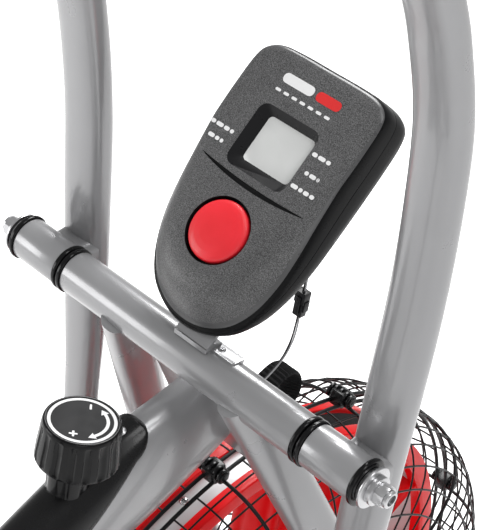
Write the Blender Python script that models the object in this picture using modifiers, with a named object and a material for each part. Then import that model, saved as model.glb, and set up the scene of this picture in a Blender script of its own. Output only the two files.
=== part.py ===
"""Upright air bike: a fan wheel in a wire cage, pedals, swinging arms, a seat and a console.

Frame: +Z up, +Y forwards, +X to the rider's right, origin on the floor under the middle.
Most places are given from the arm pivot, the axis of the cross tube at the top of the frame.
"""
import math

import bmesh
import bpy
from mathutils import Matrix, Vector

GAP = 0.0003                    # between pieces that touch
PIVOT_Y = 0.0765                # the arm pivot, from the middle of the base
PIVOT_Z = 0.82
ORIGIN = Vector((0, PIVOT_Y, PIVOT_Z))

# Cross tube, collars and their stack of fittings
TUBE_R = 0.019
TUBE_BORE = 0.0168
CROSS_HALF = 0.1315
FLANGE_R = 0.0205
FLANGE_T = 0.005
SLEEVE_L = 0.012
AXLE_R = 0.006
THREAD_R = 0.005
COLLAR_IN = CROSS_HALF + 2 * FLANGE_T + 4 * GAP
COLLAR_OUT = 0.1915
WASHER_R = 0.0172
WASHER_T = 0.002
NUT_AF = 0.0145
NUT_L = 0.0095
AXLE_HALF = 0.2145

# Swinging arms: oval tube, wider across than deep, on a lug at the front of each collar
ARM_X = 0.171
ARM_HALF_X = 0.023
ARM_HALF_Y = 0.015
ARM_SWING = math.radians(3.2)   # how far each arm stands from its middle position
ARM_PATH = [(0.064, -0.405), (0.0625, -0.30), (0.0585, -0.18), (0.0535, -0.08), (0.0430, 0.05),
            (0.0355, 0.134), (0.0215, 0.217), (0.0010, 0.295), (-0.0320, 0.362), (-0.0575, 0.402),
            (-0.0790, 0.432)]
ARM_SIZES = [0.80, 0.80, 0.80, 0.94, 1.0, 1.0, 1.0, 1.0, 1.0, 1.0, 1.0]
LUG_SIZE = (0.040, 0.034, 0.034)
LUG_Y = 0.025
HANDLE_PATH = [(-0.045, 0.385), (-0.062, 0.412), (-0.095, 0.444), (-0.140, 0.470), (-0.205, 0.492)]
HANDLE_R = 0.0125
GRIP_R = 0.0175
LINK_PIVOT = (0.064, -0.385)
LINK_BOSS_R = 0.010

# Fork legs: flat-oval tube, leaning forwards and spreading until they clear the cage
LEG_TOP_X = 0.068
LEG_LOW_X = 0.128
LEG_TOP_Y = -0.005
LEG_LEAN = 0.5736               # forwards per metre down
LEG_SPLAY = 0.243               # outwards per metre down
LEG_HALF_X = 0.0145
LEG_HALF_Y = 0.021
LEG_DROP = 0.753

# Main tube: one curved oval from the fork crown to the rear stabilizer; last value is its size
MAIN_HALF_Z = 0.050
MAIN_HALF_X = 0.025
MAIN_PATH = [(0.046, -0.071, 0.90), (0.01, -0.0875, 0.97), (-0.04, -0.1076, 1.045), (-0.10, -0.1355, 1.01),
             (-0.17, -0.1755, 0.97), (-0.28, -0.258, 1.0), (-0.39, -0.357, 0.96), (-0.49, -0.480, 0.92),
             (-0.562, -0.62, 0.88), (-0.60, -0.764, 0.85)]

# Wheel and cage, about the fan axle
WHEEL_Y = 0.165
WHEEL_Z = -0.475
WHEEL_X = -0.0145               # the rim stands left of the middle, clear of the drive
WHEEL_R = 0.293
BAND_R = 0.286
WHEEL_RIM_IN = 0.274
WHEEL_HALF_X = 0.0285
BAND_HALF_X = 0.0145
HUB_R = 0.034
HUB_HALF_X = 0.046
FAN_AXLE_R = 0.008
BLADES = 12
CAGE_PROFILE = [(0.3205, 0.006), (0.315, 0.048), (0.280, 0.079), (0.165, 0.086), (0.045, 0.086)]
CAGE_SPOKES = 24
CAGE_PHASE = -17                      # degrees, forwards from the top, of one spoke
CAGE_WIRE = 0.0032
CLIP_SPOKES = (0, 2, 6)               # the spokes whose rims a clip holds, counted forwards
CLIP_SIZE = (0.030, 0.020, 0.013)

# Cranks and links
CRANK_Y = -0.28
CRANK_Z = -0.49
CRANK_R = 0.115
SPINDLE_R = 0.0095
CRANK_IN = 0.1315
CRANK_T = 0.012
LINK_IN = 0.1455
LINK_T = 0.005
PEDAL_IN = 0.191
PEDAL_W = 0.086
PEDAL_PIN_R = 0.006

# Seat
SEAT_LEAN = math.radians(14)
SEAT_TUBE_FOOT = (-0.405, -0.310)
SEAT_TUBE_L = 0.235
SEAT_POST_R = 0.0165
SEAT_POST_OUT = 0.105
CLAMP_SCREW_R = 0.0048
CLAMP_BOSS_R = 0.011
CLAMP_BOSS_L = 0.030            # out from the seat tube's centre line

# Console: its own frame has x across, s up the face and h out of the face
FACE_TILT = math.radians(49.1)  # of the face from level
LCD_AT = (0.070, 0.167)
FACE_H = 0.008                  # face above the display
PARTING_H = -0.012
BACK_H = -0.036
BUTTON_S = -0.079
BUTTON_R = 0.0262
BUTTON_HOLE_R = 0.0285

# Leads and their connector
LEAD_R = 0.0015
CONNECTOR_AT = (0.030, 0.1005, 0.027)
CONSOLE_LEAD = [(0.030, 0.0747, 0.1167), (0.030, 0.080, 0.112), (0.030, 0.090, 0.100),
                (0.030, 0.0975, 0.084),
                (0.030, 0.1005, 0.066), (0.030, 0.1008, 0.050), (0.030, 0.1005, 0.0393)]
SENSOR_LEAD = [(0.030, 0.1005, 0.0147), (0.0285, 0.1025, 0.002), (0.0265, 0.1035, -0.016),
               (0.0245, 0.099, -0.034),
               (0.022, 0.088, -0.049), (0.0185, 0.075, -0.061), (0.015, 0.0635, -0.070), (0.0125, 0.0550,
                                                                                          -0.0757)]

# Tension knob
KNOB_Y = -0.108
KNOB_Z = -0.021
KNOB_R = 0.0325                # under the top edge; the skirt is a little wider
KNOB_H = 0.039

FLOOR_FLAT = 0.0015             # how much of each round end cap the floor flattens
STAB_R = 0.025
CAP_R = 0.028
STAB_Z = CAP_R - FLOOR_FLAT
STAB_HALF = 0.225
FRONT_STAB_Y = LEG_TOP_Y + LEG_LEAN * 0.762
REAR_STAB_Y = -0.604


def rel(x, y, z):
    """A place given from the arm pivot, in the object's frame."""
    return ORIGIN + Vector((x, y, z))


# ---------------------------------------------------------------- tools

def clear_scene():
    for obj in list(bpy.data.objects):
        bpy.data.objects.remove(obj)


def new_collection(name):
    collection = bpy.data.collections.new(name)
    bpy.context.scene.collection.children.link(collection)
    return collection


clear_scene()
PARTS = new_collection("air_bike")
CUTTERS = new_collection("cutters")


def make_material(name, colour, roughness, metallic=0.0):
    mat = bpy.data.materials.new(name)
    mat.use_nodes = True
    shader = mat.node_tree.nodes["Principled BSDF"]
    shader.inputs["Base Color"].default_value = (*colour, 1)
    shader.inputs["Roughness"].default_value = roughness
    shader.inputs["Metallic"].default_value = metallic
    mat.diffuse_color = (*colour, 1)
    return mat


SILVER = make_material("silver_paint", (0.56, 0.56, 0.57), 0.32, 0.35)
RED = make_material("red_paint", (0.80, 0.01, 0.02), 0.30)
BLACK_WIRE = make_material("black_wire", (0.02, 0.02, 0.02), 0.35)
BLACK_PLASTIC = make_material("black_plastic", (0.025, 0.025, 0.027), 0.40)
GLOSS_BLACK = make_material("gloss_black", (0.015, 0.015, 0.016), 0.20)
CONSOLE_GREY = make_material("console_grey", (0.13, 0.13, 0.135), 0.55)
BUTTON_RED = make_material("button_red", (0.85, 0.02, 0.03), 0.18)
DISPLAY = make_material("display", (0.66, 0.68, 0.66), 0.25)
CHROME = make_material("zinc", (0.78, 0.78, 0.79), 0.22, 1.0)
FOAM = make_material("foam", (0.02, 0.02, 0.02), 0.85)
VINYL = make_material("seat_vinyl", (0.025, 0.025, 0.025), 0.55)
RUBBER = make_material("rubber", (0.03, 0.03, 0.03), 0.75)
WEBBING = make_material("webbing", (0.02, 0.02, 0.02), 0.80)


def add_object(name, data, mat=None, is_cutter=False):
    obj = bpy.data.objects.new(name, data)
    (CUTTERS if is_cutter else PARTS).objects.link(obj)
    if mat:
        data.materials.append(mat)
    if is_cutter:
        obj.hide_render = True
        obj.display_type = "WIRE"
    return obj


def smooth(obj, angle=35):
    obj.data.shade_smooth()
    obj.data.set_sharp_from_angle(angle=math.radians(angle))
    return obj


def mesh_from(name, bm, mat, is_cutter=False):
    mesh = bpy.data.meshes.new(name)
    bm.to_mesh(mesh)
    bm.free()
    return smooth(add_object(name, mesh, mat, is_cutter))


def cylinder(name, radius, ends, mat=None, segments=24, is_cutter=False):
    """A solid rod between two points."""
    start, stop = Vector(ends[0]), Vector(ends[1])
    bm = bmesh.new()
    bmesh.ops.create_cone(bm, cap_ends=True, segments=segments, radius1=radius, radius2=radius,
                          depth=(stop - start).length)
    obj = mesh_from(name, bm, mat, is_cutter)
    obj.location = (start + stop) / 2
    obj.rotation_euler = (stop - start).to_track_quat("Z", "Y").to_euler()
    return obj


def box(name, size, centre, mat=None, rotation=(0, 0, 0), bevel=0.0, is_cutter=False):
    bm = bmesh.new()
    bmesh.ops.create_cube(bm, size=1.0)
    bmesh.ops.scale(bm, vec=size, verts=bm.verts)
    obj = mesh_from(name, bm, mat, is_cutter)
    obj.location = centre
    obj.rotation_euler = rotation
    if bevel:
        mod = obj.modifiers.new("round", "BEVEL")
        mod.width = bevel
        mod.segments = 2
    return obj


def lathe(name, profile, centre, direction, mat, steps=28, closed=True):
    """Turn (radius, height) points about an axis; the outer side runs from top to bottom."""
    mesh = bpy.data.meshes.new(name)
    points = [(r, 0, h) for r, h in profile]
    edges = [(i, i + 1) for i in range(len(points) - 1)]
    if closed:
        edges.append((len(points) - 1, 0))
    mesh.from_pydata(points, edges, [])
    obj = add_object(name, mesh, mat)
    mod = obj.modifiers.new("turn", "SCREW")
    mod.steps = mod.render_steps = steps
    mod.use_merge_vertices = True
    mod.merge_threshold = 0.00001
    mod.use_smooth_shade = False
    obj.location = centre
    obj.rotation_euler = Vector(direction).to_track_quat("Z", "Y").to_euler()
    return obj


def ring(name, inner, outer, length, centre, direction, mat, steps=28):
    half = length / 2
    profile = [(inner, half), (outer, half), (outer, -half), (inner, -half)]
    return lathe(name, profile, centre, direction, mat, steps)


def tube(name, points, radius, mat, squash=1.0, sizes=None, resolution=3, smoothness=3):
    """A smooth tube through points; squash narrows its section along X only."""
    curve = bpy.data.curves.new(name, "CURVE")
    curve.dimensions = "3D"
    curve.bevel_depth = radius
    curve.bevel_resolution = smoothness
    curve.resolution_u = resolution
    curve.render_resolution_u = 0
    curve.use_fill_caps = True
    spline = curve.splines.new("BEZIER")
    spline.bezier_points.add(len(points) - 1)
    for i, point in enumerate(points):
        knot = spline.bezier_points[i]
        knot.co = (point[0] / squash, point[1], point[2])
        knot.handle_left_type = knot.handle_right_type = "AUTO"
        if sizes:
            knot.radius = sizes[i]
    obj = add_object(name, curve, mat)
    obj.scale.x = squash
    return obj


def plate(name, outlines, thickness, centre, mat, axes="YZ"):
    """A flat outline, with any holes as further outlines, extruded to a thickness."""
    curve = bpy.data.curves.new(name, "CURVE")
    curve.dimensions = "2D"
    curve.fill_mode = "BOTH"
    curve.extrude = thickness / 2
    curve.render_resolution_u = 0
    for outline in outlines:
        spline = curve.splines.new("POLY")
        spline.use_cyclic_u = True
        spline.points.add(len(outline) - 1)
        for i, (u, v) in enumerate(outline):
            spline.points[i].co = (u, v, 0, 1)
    obj = add_object(name, curve, mat)
    obj.location = centre
    turn = {"YZ": (math.pi / 2, 0, math.pi / 2), "XZ": (math.pi / 2, 0, 0), "XY": (0, 0, 0)}
    obj.rotation_euler = turn[axes]
    return obj


def to_mesh(obj):
    """Replace a curve by its mesh, caps welded, so that it can be cut or joined."""
    bpy.context.view_layer.update()
    graph = bpy.context.evaluated_depsgraph_get()
    mesh = bpy.data.meshes.new_from_object(obj.evaluated_get(graph))
    bm = bmesh.new()
    bm.from_mesh(mesh)
    bmesh.ops.remove_doubles(bm, verts=bm.verts, dist=0.00002)
    bm.to_mesh(mesh)
    bm.free()
    name = obj.name
    matrix = obj.matrix_world.copy()
    collection = obj.users_collection[0]
    obj.name = name + "_curve"
    new = bpy.data.objects.new(name, mesh)
    collection.objects.link(new)
    new.matrix_world = matrix
    new.hide_render = obj.hide_render
    new.display_type = obj.display_type
    bpy.data.objects.remove(obj)
    return new


def as_cutter(obj):
    PARTS.objects.unlink(obj)
    CUTTERS.objects.link(obj)
    obj.hide_render = True
    obj.display_type = "WIRE"
    return obj


def boolean(target, tool, operation="DIFFERENCE"):
    if tool.name in PARTS.objects:
        as_cutter(tool)
    mod = target.modifiers.new(operation.lower(), "BOOLEAN")
    mod.operation = operation
    mod.object = tool
    return target


def arc(radius, start, stop, count, centre=(0, 0)):
    """Points on a circle; angles in degrees, anticlockwise."""
    turns = [math.radians(start + (stop - start) * i / (count - 1)) for i in range(count)]
    return [(centre[0] + radius * math.cos(t), centre[1] + radius * math.sin(t)) for t in turns]


def circle(radius, centre=(0, 0), count=20):
    return arc(radius, 0, 360 - 360 / count, count, centre)


def capsule(start, stop, r_start, r_stop, count=9):
    """The outline around two circles."""
    run = Vector(stop) - Vector(start)
    heading = math.degrees(math.atan2(run.y, run.x))
    lift = math.degrees(math.asin((r_start - r_stop) / run.length))
    first = arc(r_start, heading + 90 - lift, heading + 270 + lift, count, start)
    second = arc(r_stop, heading - 90 + lift, heading + 90 - lift, count, stop)
    return first + second


def turned_by(angle, y, z):
    """A point of the arm's middle position after the arm swings about the pivot."""
    return (y * math.cos(angle) - z * math.sin(angle), y * math.sin(angle) + z * math.cos(angle))


# ---------------------------------------------------------------- frame

def leg_point(side, drop):
    """Centre line of a fork leg: it spreads, then runs parallel to the cage."""
    spread = LEG_LOW_X - LEG_TOP_X
    ease = 0.012
    reach = LEG_SPLAY * drop
    outwards = 0.5 * (reach + spread - math.sqrt((reach - spread) ** 2 + ease ** 2))
    return rel(side * (LEG_TOP_X + outwards), LEG_TOP_Y + LEG_LEAN * drop, -drop)


def main_point(index):
    y, z, _ = MAIN_PATH[index]
    return rel(0, y, z)


def build_cross_tube():
    ring("cross_tube", TUBE_BORE, TUBE_R, 2 * CROSS_HALF, ORIGIN, (1, 0, 0), SILVER, 32)


def build_fork_legs():
    for side, word in ((-1, "left"), (1, "right")):
        drops = [0, 0.10, 0.18, 0.22, 0.26, 0.30, 0.38, LEG_DROP]
        leg = tube(word + "_fork_leg", [leg_point(side, d) for d in drops], LEG_HALF_Y, SILVER,
                   squash=LEG_HALF_X / LEG_HALF_Y, resolution=2)
        leg = to_mesh(leg)
        notch = cylinder(word + "_leg_notch", TUBE_R + GAP, (rel(-0.2, 0, 0), rel(0.2, 0, 0)),
                         is_cutter=True,
                         segments=32)
        boolean(leg, notch)
        above = box(word + "_leg_top_cut", (0.08, 0.10, 0.05), rel(side * LEG_TOP_X, 0, 0.025),
                    is_cutter=True)
        boolean(leg, above)
        below = box(word + "_leg_foot_cut", (0.08, 0.20, 0.10),
                    Vector((side * LEG_LOW_X, PIVOT_Y + FRONT_STAB_Y, 2 * STAB_Z + FLOOR_FLAT + GAP - 0.05)),
                    is_cutter=True)
        boolean(leg, below)
        smooth(leg)


def build_crown():
    """The plate between the legs that the main tube is welded to."""
    lean = math.atan(LEG_LEAN)
    crown = box("fork_crown", (2 * (LEG_TOP_X - LEG_HALF_X) - 0.001, 0.008, 0.105), rel(0, 0.047, -0.078),
                SILVER,
                rotation=(lean, 0, 0))
    return crown


def build_main_tube():
    points = [main_point(i) for i in range(len(MAIN_PATH))]
    sizes = [size for _, _, size in MAIN_PATH]
    main = tube("main_tube", points, MAIN_HALF_Z, SILVER, squash=MAIN_HALF_X / MAIN_HALF_Z, sizes=sizes,
                resolution=3,
                smoothness=4)
    main = to_mesh(main)
    ahead = box("main_front_cut", (0.2, 0.08, 0.25), rel(0, 0.047, -0.078), is_cutter=True,
                rotation=(math.atan(LEG_LEAN), 0, 0))
    ahead.location += Matrix.Rotation(math.atan(LEG_LEAN), 3, "X") @ Vector((0, 0.040 - 0.004 - GAP, 0))
    boolean(main, ahead)
    foot = box("main_foot_cut", (0.2, 0.4, 0.10),
               Vector((0, PIVOT_Y + REAR_STAB_Y, 2 * STAB_Z + FLOOR_FLAT + GAP - 0.05)), is_cutter=True)
    boolean(main, foot)
    smooth(main)


def main_core(name):
    """The main tube, a welding gap larger, to shape the ends of what meets it."""
    sizes = [size * 1.012 for _, _, size in MAIN_PATH]
    points = [main_point(i) for i in range(len(MAIN_PATH))]
    core = tube(name, points, MAIN_HALF_Z, SILVER, squash=MAIN_HALF_X / MAIN_HALF_Z * 1.012, sizes=sizes,
                resolution=3, smoothness=4)
    return to_mesh(core)


def build_stays():
    """Flat bars from the bridge behind the cage, past the fan axle, to the fork legs."""
    rear = Vector((-0.20, -0.585))
    axle = Vector((WHEEL_Y, WHEEL_Z))
    front = Vector((0.2140, -0.4602))
    for side, word in ((-1, "left"), (1, "right")):
        outline = capsule(rear, front, 0.016, 0.016)
        plate(word + "_stay", [outline, circle(FAN_AXLE_R + GAP, axle)], 0.015,
              rel(side * 0.121, 0, 0), SILVER)


def build_crank_frame():
    """Bearing shell for the cranks, its post up to the main tube and the bridge to the stays."""
    shell = ring("crank_frame", SPINDLE_R + 0.0006, 0.022, 0.070, rel(0, CRANK_Y, CRANK_Z), (1, 0, 0),
                 SILVER)
    post = cylinder("crank_post", 0.017, (rel(0, CRANK_Y, CRANK_Z + 0.0195), rel(0, CRANK_Y, -0.323)),
                    is_cutter=True)
    strut = cylinder("bridge_strut", 0.0125,
                     (rel(0, CRANK_Y + 0.014, CRANK_Z - 0.015), rel(0, -0.20, -0.585)), is_cutter=True)
    bridge = cylinder("stay_bridge", 0.0128, (rel(-0.1132, -0.20, -0.585), rel(0.1132, -0.20, -0.585)),
                      is_cutter=True)
    for tool in (post, strut, bridge):
        boolean(shell, tool, "UNION")
    boolean(shell, main_core("crank_post_cope"))
    return shell


def build_seat():
    up = Vector((0, -math.sin(SEAT_LEAN), math.cos(SEAT_LEAN)))
    foot = rel(0, *SEAT_TUBE_FOOT)
    top = foot + up * SEAT_TUBE_L
    seat_tube = ring("seat_tube", SEAT_POST_R + 0.0005, 0.0215, SEAT_TUBE_L, (foot + top) / 2, up, SILVER)
    boolean(seat_tube, main_core("seat_tube_cope"))
    post_foot = foot + up * 0.02
    post_top = top + up * SEAT_POST_OUT
    cylinder("seat_post", SEAT_POST_R, (post_foot, post_top), CHROME)
    clamp_at = foot + up * (SEAT_TUBE_L - 0.035)
    back = Vector((0, -math.cos(SEAT_LEAN), -math.sin(SEAT_LEAN)))
    boss = cylinder("clamp_boss", CLAMP_BOSS_R, (clamp_at + back * 0.0195, clamp_at + back * CLAMP_BOSS_L),
                    segments=20)
    hole = cylinder("clamp_hole", CLAMP_SCREW_R + GAP, (clamp_at + back * 0.010, clamp_at + back * 0.05),
                    is_cutter=True, segments=16)
    boolean(seat_tube, boss, "UNION")
    boolean(seat_tube, hole)
    profile = [(0, 0.030), (0.014, 0.030), (0.021, 0.024), (0.021, 0.008), (0.012, GAP),
               (CLAMP_SCREW_R, GAP),
               (CLAMP_SCREW_R, SEAT_POST_R + 0.0008 - CLAMP_BOSS_L), (0,
                                                                      SEAT_POST_R + 0.0008 - CLAMP_BOSS_L)]
    lathe("seat_clamp_knob", profile, clamp_at + back * CLAMP_BOSS_L, back, BLACK_PLASTIC, 20, closed=False)
    build_saddle(post_top)


def build_saddle(post_top):
    """A rounded-triangle cushion from a coarse cage, standing on the post."""
    bm = bmesh.new()
    half_widths = [(-0.125, 0.085), (-0.075, 0.118), (-0.01, 0.105), (0.055, 0.055), (0.115, 0.030)]
    rows = []
    for y, half in half_widths:
        dip = 0.006 * math.cos(y / 0.12 * math.pi / 2)
        lower = [(-half, y, 0.006), (0, y, 0.0), (half, y, 0.006)]
        upper = [(half, y, 0.050 - dip), (0, y, 0.058 - dip), (-half, y, 0.050 - dip)]
        rows.append([bm.verts.new(p) for p in lower + upper])
    for first, second in zip(rows, rows[1:]):
        for i in range(6):
            j = (i + 1) % 6
            bm.faces.new((first[i], first[j], second[j], second[i]))
    bm.faces.new(list(reversed(rows[0])))
    bm.faces.new(rows[-1])
    bmesh.ops.recalc_face_normals(bm, faces=bm.faces)
    saddle = mesh_from("seat_cushion", bm, VINYL)
    mod = saddle.modifiers.new("soft", "SUBSURF")
    mod.levels = mod.render_levels = 2
    saddle.location = post_top + Vector((0, -0.005, 0.0024))


def build_stabilizers():
    for word, y in (("front", FRONT_STAB_Y), ("rear", REAR_STAB_Y)):
        centre = Vector((0, PIVOT_Y + y, STAB_Z))
        cylinder(word + "_stabilizer", STAB_R, (centre - Vector((STAB_HALF, 0, 0)),
                                                centre + Vector((STAB_HALF, 0, 0))),
                 SILVER, 28)
        for side, hand in ((-1, "left"), (1, "right")):
            wall = 0.003
            profile = [(0, wall), (CAP_R - 0.004, wall), (CAP_R, wall - 0.004), (CAP_R, -0.045),
                       (STAB_R + GAP, -0.045), (STAB_R + GAP, GAP), (0, GAP)]
            cap = lathe("%s_%s_foot" % (word, hand), profile, centre + Vector((side * STAB_HALF, 0, 0)),
                        (side, 0, 0), RUBBER, 28, closed=False)
            floor = box("%s_%s_floor" % (word, hand), (0.2, 0.2, 0.1),
                        Vector((side * STAB_HALF, PIVOT_Y + y, -0.05)),
                        is_cutter=True)
            boolean(cap, floor)


# ---------------------------------------------------------------- arm pivots and arms

def build_pivot_stack():
    """Axle, bushings, washers and nuts, from the cross tube outwards on each side."""
    axle = [(0, AXLE_HALF), (THREAD_R, AXLE_HALF), (THREAD_R, 0.199), (AXLE_R, 0.199), (AXLE_R, -0.199),
            (THREAD_R, -0.199), (THREAD_R, -AXLE_HALF), (0, -AXLE_HALF)]
    lathe("pivot_axle", axle, ORIGIN, (1, 0, 0), CHROME, 20, closed=False)
    bore = AXLE_R + GAP
    sleeve = TUBE_BORE - GAP
    flange = [(bore, FLANGE_T), (FLANGE_R, FLANGE_T), (FLANGE_R, 0), (sleeve, 0), (sleeve, -SLEEVE_L),
              (bore, -SLEEVE_L)]
    for side, word in ((-1, "left"), (1, "right")):
        out = (side, 0, 0)
        into = (-side, 0, 0)
        lathe(word + "_frame_bushing", flange, rel(side * (CROSS_HALF + GAP), 0, 0), out, BLACK_PLASTIC, 24)
        lathe(word + "_arm_bushing_inner", flange, rel(side * (COLLAR_IN - GAP), 0, 0), into, BLACK_PLASTIC,
              24)
        lathe(word + "_arm_bushing_outer", flange, rel(side * (COLLAR_OUT + GAP), 0, 0), out, BLACK_PLASTIC,
              24)
        washer_at = COLLAR_OUT + FLANGE_T + 2 * GAP + WASHER_T / 2
        ring(word + "_pivot_washer", THREAD_R + 0.0012, WASHER_R, WASHER_T, rel(side * washer_at, 0, 0), out,
             CHROME)
        nut_at = washer_at + WASHER_T / 2 + GAP + NUT_L / 2
        nut = ring(word + "_pivot_nut", THREAD_R + GAP, NUT_AF / math.sqrt(3), NUT_L,
                   rel(side * nut_at, 0, 0), out,
                   CHROME, 6)
        bore_cut = cylinder(word + "_nut_bore", THREAD_R + GAP,
                            (rel(side * 0.19, 0, 0), rel(side * 0.23, 0, 0)), is_cutter=True, segments=16)
        boolean(nut, bore_cut)


def build_arms():
    for side, word in ((-1, "left"), (1, "right")):
        swing = -side * ARM_SWING
        path = [(side * ARM_X, y, z) for y, z in ARM_PATH]
        arm = tube(word + "_arm", path, ARM_HALF_Y, SILVER, squash=ARM_HALF_X / ARM_HALF_Y, sizes=ARM_SIZES,
                   resolution=2)
        arm = to_mesh(arm)
        handle_path = [(side * ARM_X, y, z) for y, z in HANDLE_PATH]
        handle = to_mesh(tube(word + "_handle", handle_path, HANDLE_R, SILVER, resolution=2, smoothness=2))
        collar_mid = (COLLAR_IN + COLLAR_OUT) / 2
        collar = cylinder(word + "_collar", TUBE_R, ((side * COLLAR_IN, 0, 0), (side * COLLAR_OUT, 0, 0)),
                          segments=32)
        boss = cylinder(word + "_link_boss", LINK_BOSS_R,
                        ((side * (LINK_IN + LINK_T + GAP), *LINK_PIVOT), (side * (ARM_X + 0.016),
                                                                          *LINK_PIVOT)),
                        segments=16)
        bore = cylinder(word + "_collar_bore", TUBE_BORE, ((side * (collar_mid - 0.06), 0, 0),
                                                          (side * (collar_mid + 0.06), 0, 0)), segments=32)
        lug = box(word + "_arm_lug", LUG_SIZE, (side * ARM_X, LUG_Y, 0))
        pivot = Matrix.Translation(ORIGIN) @ Matrix.Rotation(swing, 4, "X")
        bpy.context.view_layer.update()
        for piece in (arm, handle, collar, lug, boss, bore):
            piece.matrix_world = pivot @ piece.matrix_world
        for piece in (collar, lug, boss, handle):
            boolean(arm, piece, "UNION")
        boolean(arm, bore)
        smooth(arm)
        grip_path = [(side * ARM_X, y, z) for y, z in HANDLE_PATH[2:]]
        grip = to_mesh(tube(word + "_grip", grip_path, GRIP_R, FOAM, resolution=3, smoothness=3))
        core = to_mesh(tube(word + "_grip_core", [(side * ARM_X, y, z) for y, z in HANDLE_PATH],
                            HANDLE_R + GAP, FOAM,
                            resolution=2, smoothness=2))
        bpy.context.view_layer.update()
        for piece in (grip, core):
            piece.matrix_world = pivot @ piece.matrix_world
        boolean(grip, core)
        smooth(grip)


# ---------------------------------------------------------------- wheel and cage

def build_fan_wheel():
    wheel_at = rel(0, WHEEL_Y, WHEEL_Z)
    band = BAND_HALF_X
    half = WHEEL_HALF_X
    profile = [(WHEEL_RIM_IN, half), (WHEEL_R, half), (WHEEL_R, band), (BAND_R, band), (BAND_R, -band),
               (WHEEL_R, -band), (WHEEL_R, -half), (WHEEL_RIM_IN, -half)]
    rim_at = wheel_at + Vector((WHEEL_X, 0, 0))
    wheel = lathe("fan_wheel", profile, rim_at, (1, 0, 0), RED, 48)
    core = new_collection("fan_core")
    hub = cylinder("fan_hub", HUB_R, (wheel_at - Vector((HUB_HALF_X, 0, 0)),
                                      wheel_at + Vector((HUB_HALF_X, 0, 0))),
                   is_cutter=True)
    blades = [hub]
    mid_r = (HUB_R + WHEEL_RIM_IN) / 2
    for i in range(BLADES):
        turn = 2 * math.pi * i / BLADES
        at = rim_at + Vector((0, -mid_r * math.sin(turn), mid_r * math.cos(turn)))
        blades.append(box("blade_%d" % i, (0.052, 0.0025, WHEEL_RIM_IN - HUB_R + 0.012), at, is_cutter=True,
                          rotation=(turn, 0, 0)))
    for blade in blades:
        CUTTERS.objects.unlink(blade)
        core.objects.link(blade)
    mod = wheel.modifiers.new("blades", "BOOLEAN")
    mod.operation = "UNION"
    mod.operand_type = "COLLECTION"
    mod.collection = core
    axle_bore = cylinder("hub_bore", FAN_AXLE_R + 0.0005, (wheel_at - Vector((0.1, 0, 0)),
                                                           wheel_at + Vector((0.1, 0, 0))),
                         is_cutter=True, segments=20)
    boolean(wheel, axle_bore)
    cylinder("fan_axle", FAN_AXLE_R, (wheel_at - Vector((0.136, 0, 0)), wheel_at + Vector((0.136, 0, 0))),
             CHROME, 20)


def spoke_turn(number):
    """The angle of a cage spoke, forwards from the top."""
    return math.radians(CAGE_PHASE + 360 * number / CAGE_SPOKES)


def build_cage():
    """Two domed halves of wire: rings joined by spokes, from the rim to a small centre ring."""
    for side, word in ((-1, "left"), (1, "right")):
        bm = bmesh.new()
        rings = []
        for radius, x in CAGE_PROFILE:
            turns = [spoke_turn(i) for i in range(CAGE_SPOKES)]
            rings.append([bm.verts.new((side * x, radius * math.sin(t),
                                        radius * math.cos(t))) for t in turns])
        for outer, inner in zip(rings, rings[1:]):
            for i in range(CAGE_SPOKES):
                j = (i + 1) % CAGE_SPOKES
                bm.faces.new((outer[i], outer[j], inner[j], inner[i]))
        bmesh.ops.recalc_face_normals(bm, faces=bm.faces)
        cage = mesh_from(word + "_cage", bm, BLACK_WIRE)
        mod = cage.modifiers.new("wire", "WIREFRAME")
        mod.thickness = CAGE_WIRE
        mod.use_boundary = True
        mod.use_even_offset = False
        cage.location = rel(0, WHEEL_Y, WHEEL_Z)


def build_clips():
    """Plastic clips that hold the two rims of the cage together."""
    out = CAGE_PROFILE[0][0] + CAGE_WIRE * 0.7 + CLIP_SIZE[2] / 2
    for number, spoke in enumerate(CLIP_SPOKES, 1):
        turn = spoke_turn(spoke)
        at = rel(0, WHEEL_Y + out * math.sin(turn), WHEEL_Z + out * math.cos(turn))
        box("cage_clip_%d" % number, CLIP_SIZE, at, BLACK_PLASTIC, rotation=(-turn, 0, 0), bevel=0.003)


def build_brake_webbing():
    """The friction strap: a folded end held at the crown, and the band lying on the wheel."""
    half_t = 0.0012
    fold = [(0.075, -0.118), (0.100, -0.100), (0.127, -0.086), (0.146, -0.078), (0.1515, -0.080),
            (0.1510, -0.092),
            (0.1465, -0.112), (0.1440, -0.130)]
    upper = []
    lower = []
    for i, point in enumerate(fold):
        before = Vector(fold[max(i - 1, 0)])
        after = Vector(fold[min(i + 1, len(fold) - 1)])
        run = (after - before).normalized()
        side = Vector((-run.y, run.x)) * half_t
        upper.append(tuple(Vector(point) + side))
        lower.append(tuple(Vector(point) - side))
    plate("brake_strap_end", [lower + upper[::-1]], 0.025, rel(0, 0, 0), WEBBING)
    centre = (WHEEL_Y, WHEEL_Z)
    inner = arc(BAND_R + 0.0006, 95, 20, 16, centre)
    outer = arc(BAND_R + 0.0030, 20, 95, 16, centre)
    plate("brake_band", [inner + outer], 0.025, rel(WHEEL_X, 0, 0), WEBBING)


# ---------------------------------------------------------------- cranks, pedals and links

def crank_angle():
    """The crank angle at which both links, equally long, reach their arms."""
    right = turned_by(-ARM_SWING, *LINK_PIVOT)
    left = turned_by(ARM_SWING, *LINK_PIVOT)
    ry, rz = right[0] - CRANK_Y, right[1] - CRANK_Z
    ly, lz = left[0] - CRANK_Y, left[1] - CRANK_Z
    across = 2 * (ry + ly)
    upwards = 2 * (rz + lz)
    surplus = (ry * ry + rz * rz - ly * ly - lz * lz) / CRANK_R
    return math.atan2(upwards, across) + math.acos(surplus / math.hypot(across, upwards))


def pin_place(side):
    turn = crank_angle() + (0 if side > 0 else math.pi)
    return (CRANK_Y + CRANK_R * math.cos(turn), CRANK_Z + CRANK_R * math.sin(turn))


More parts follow.
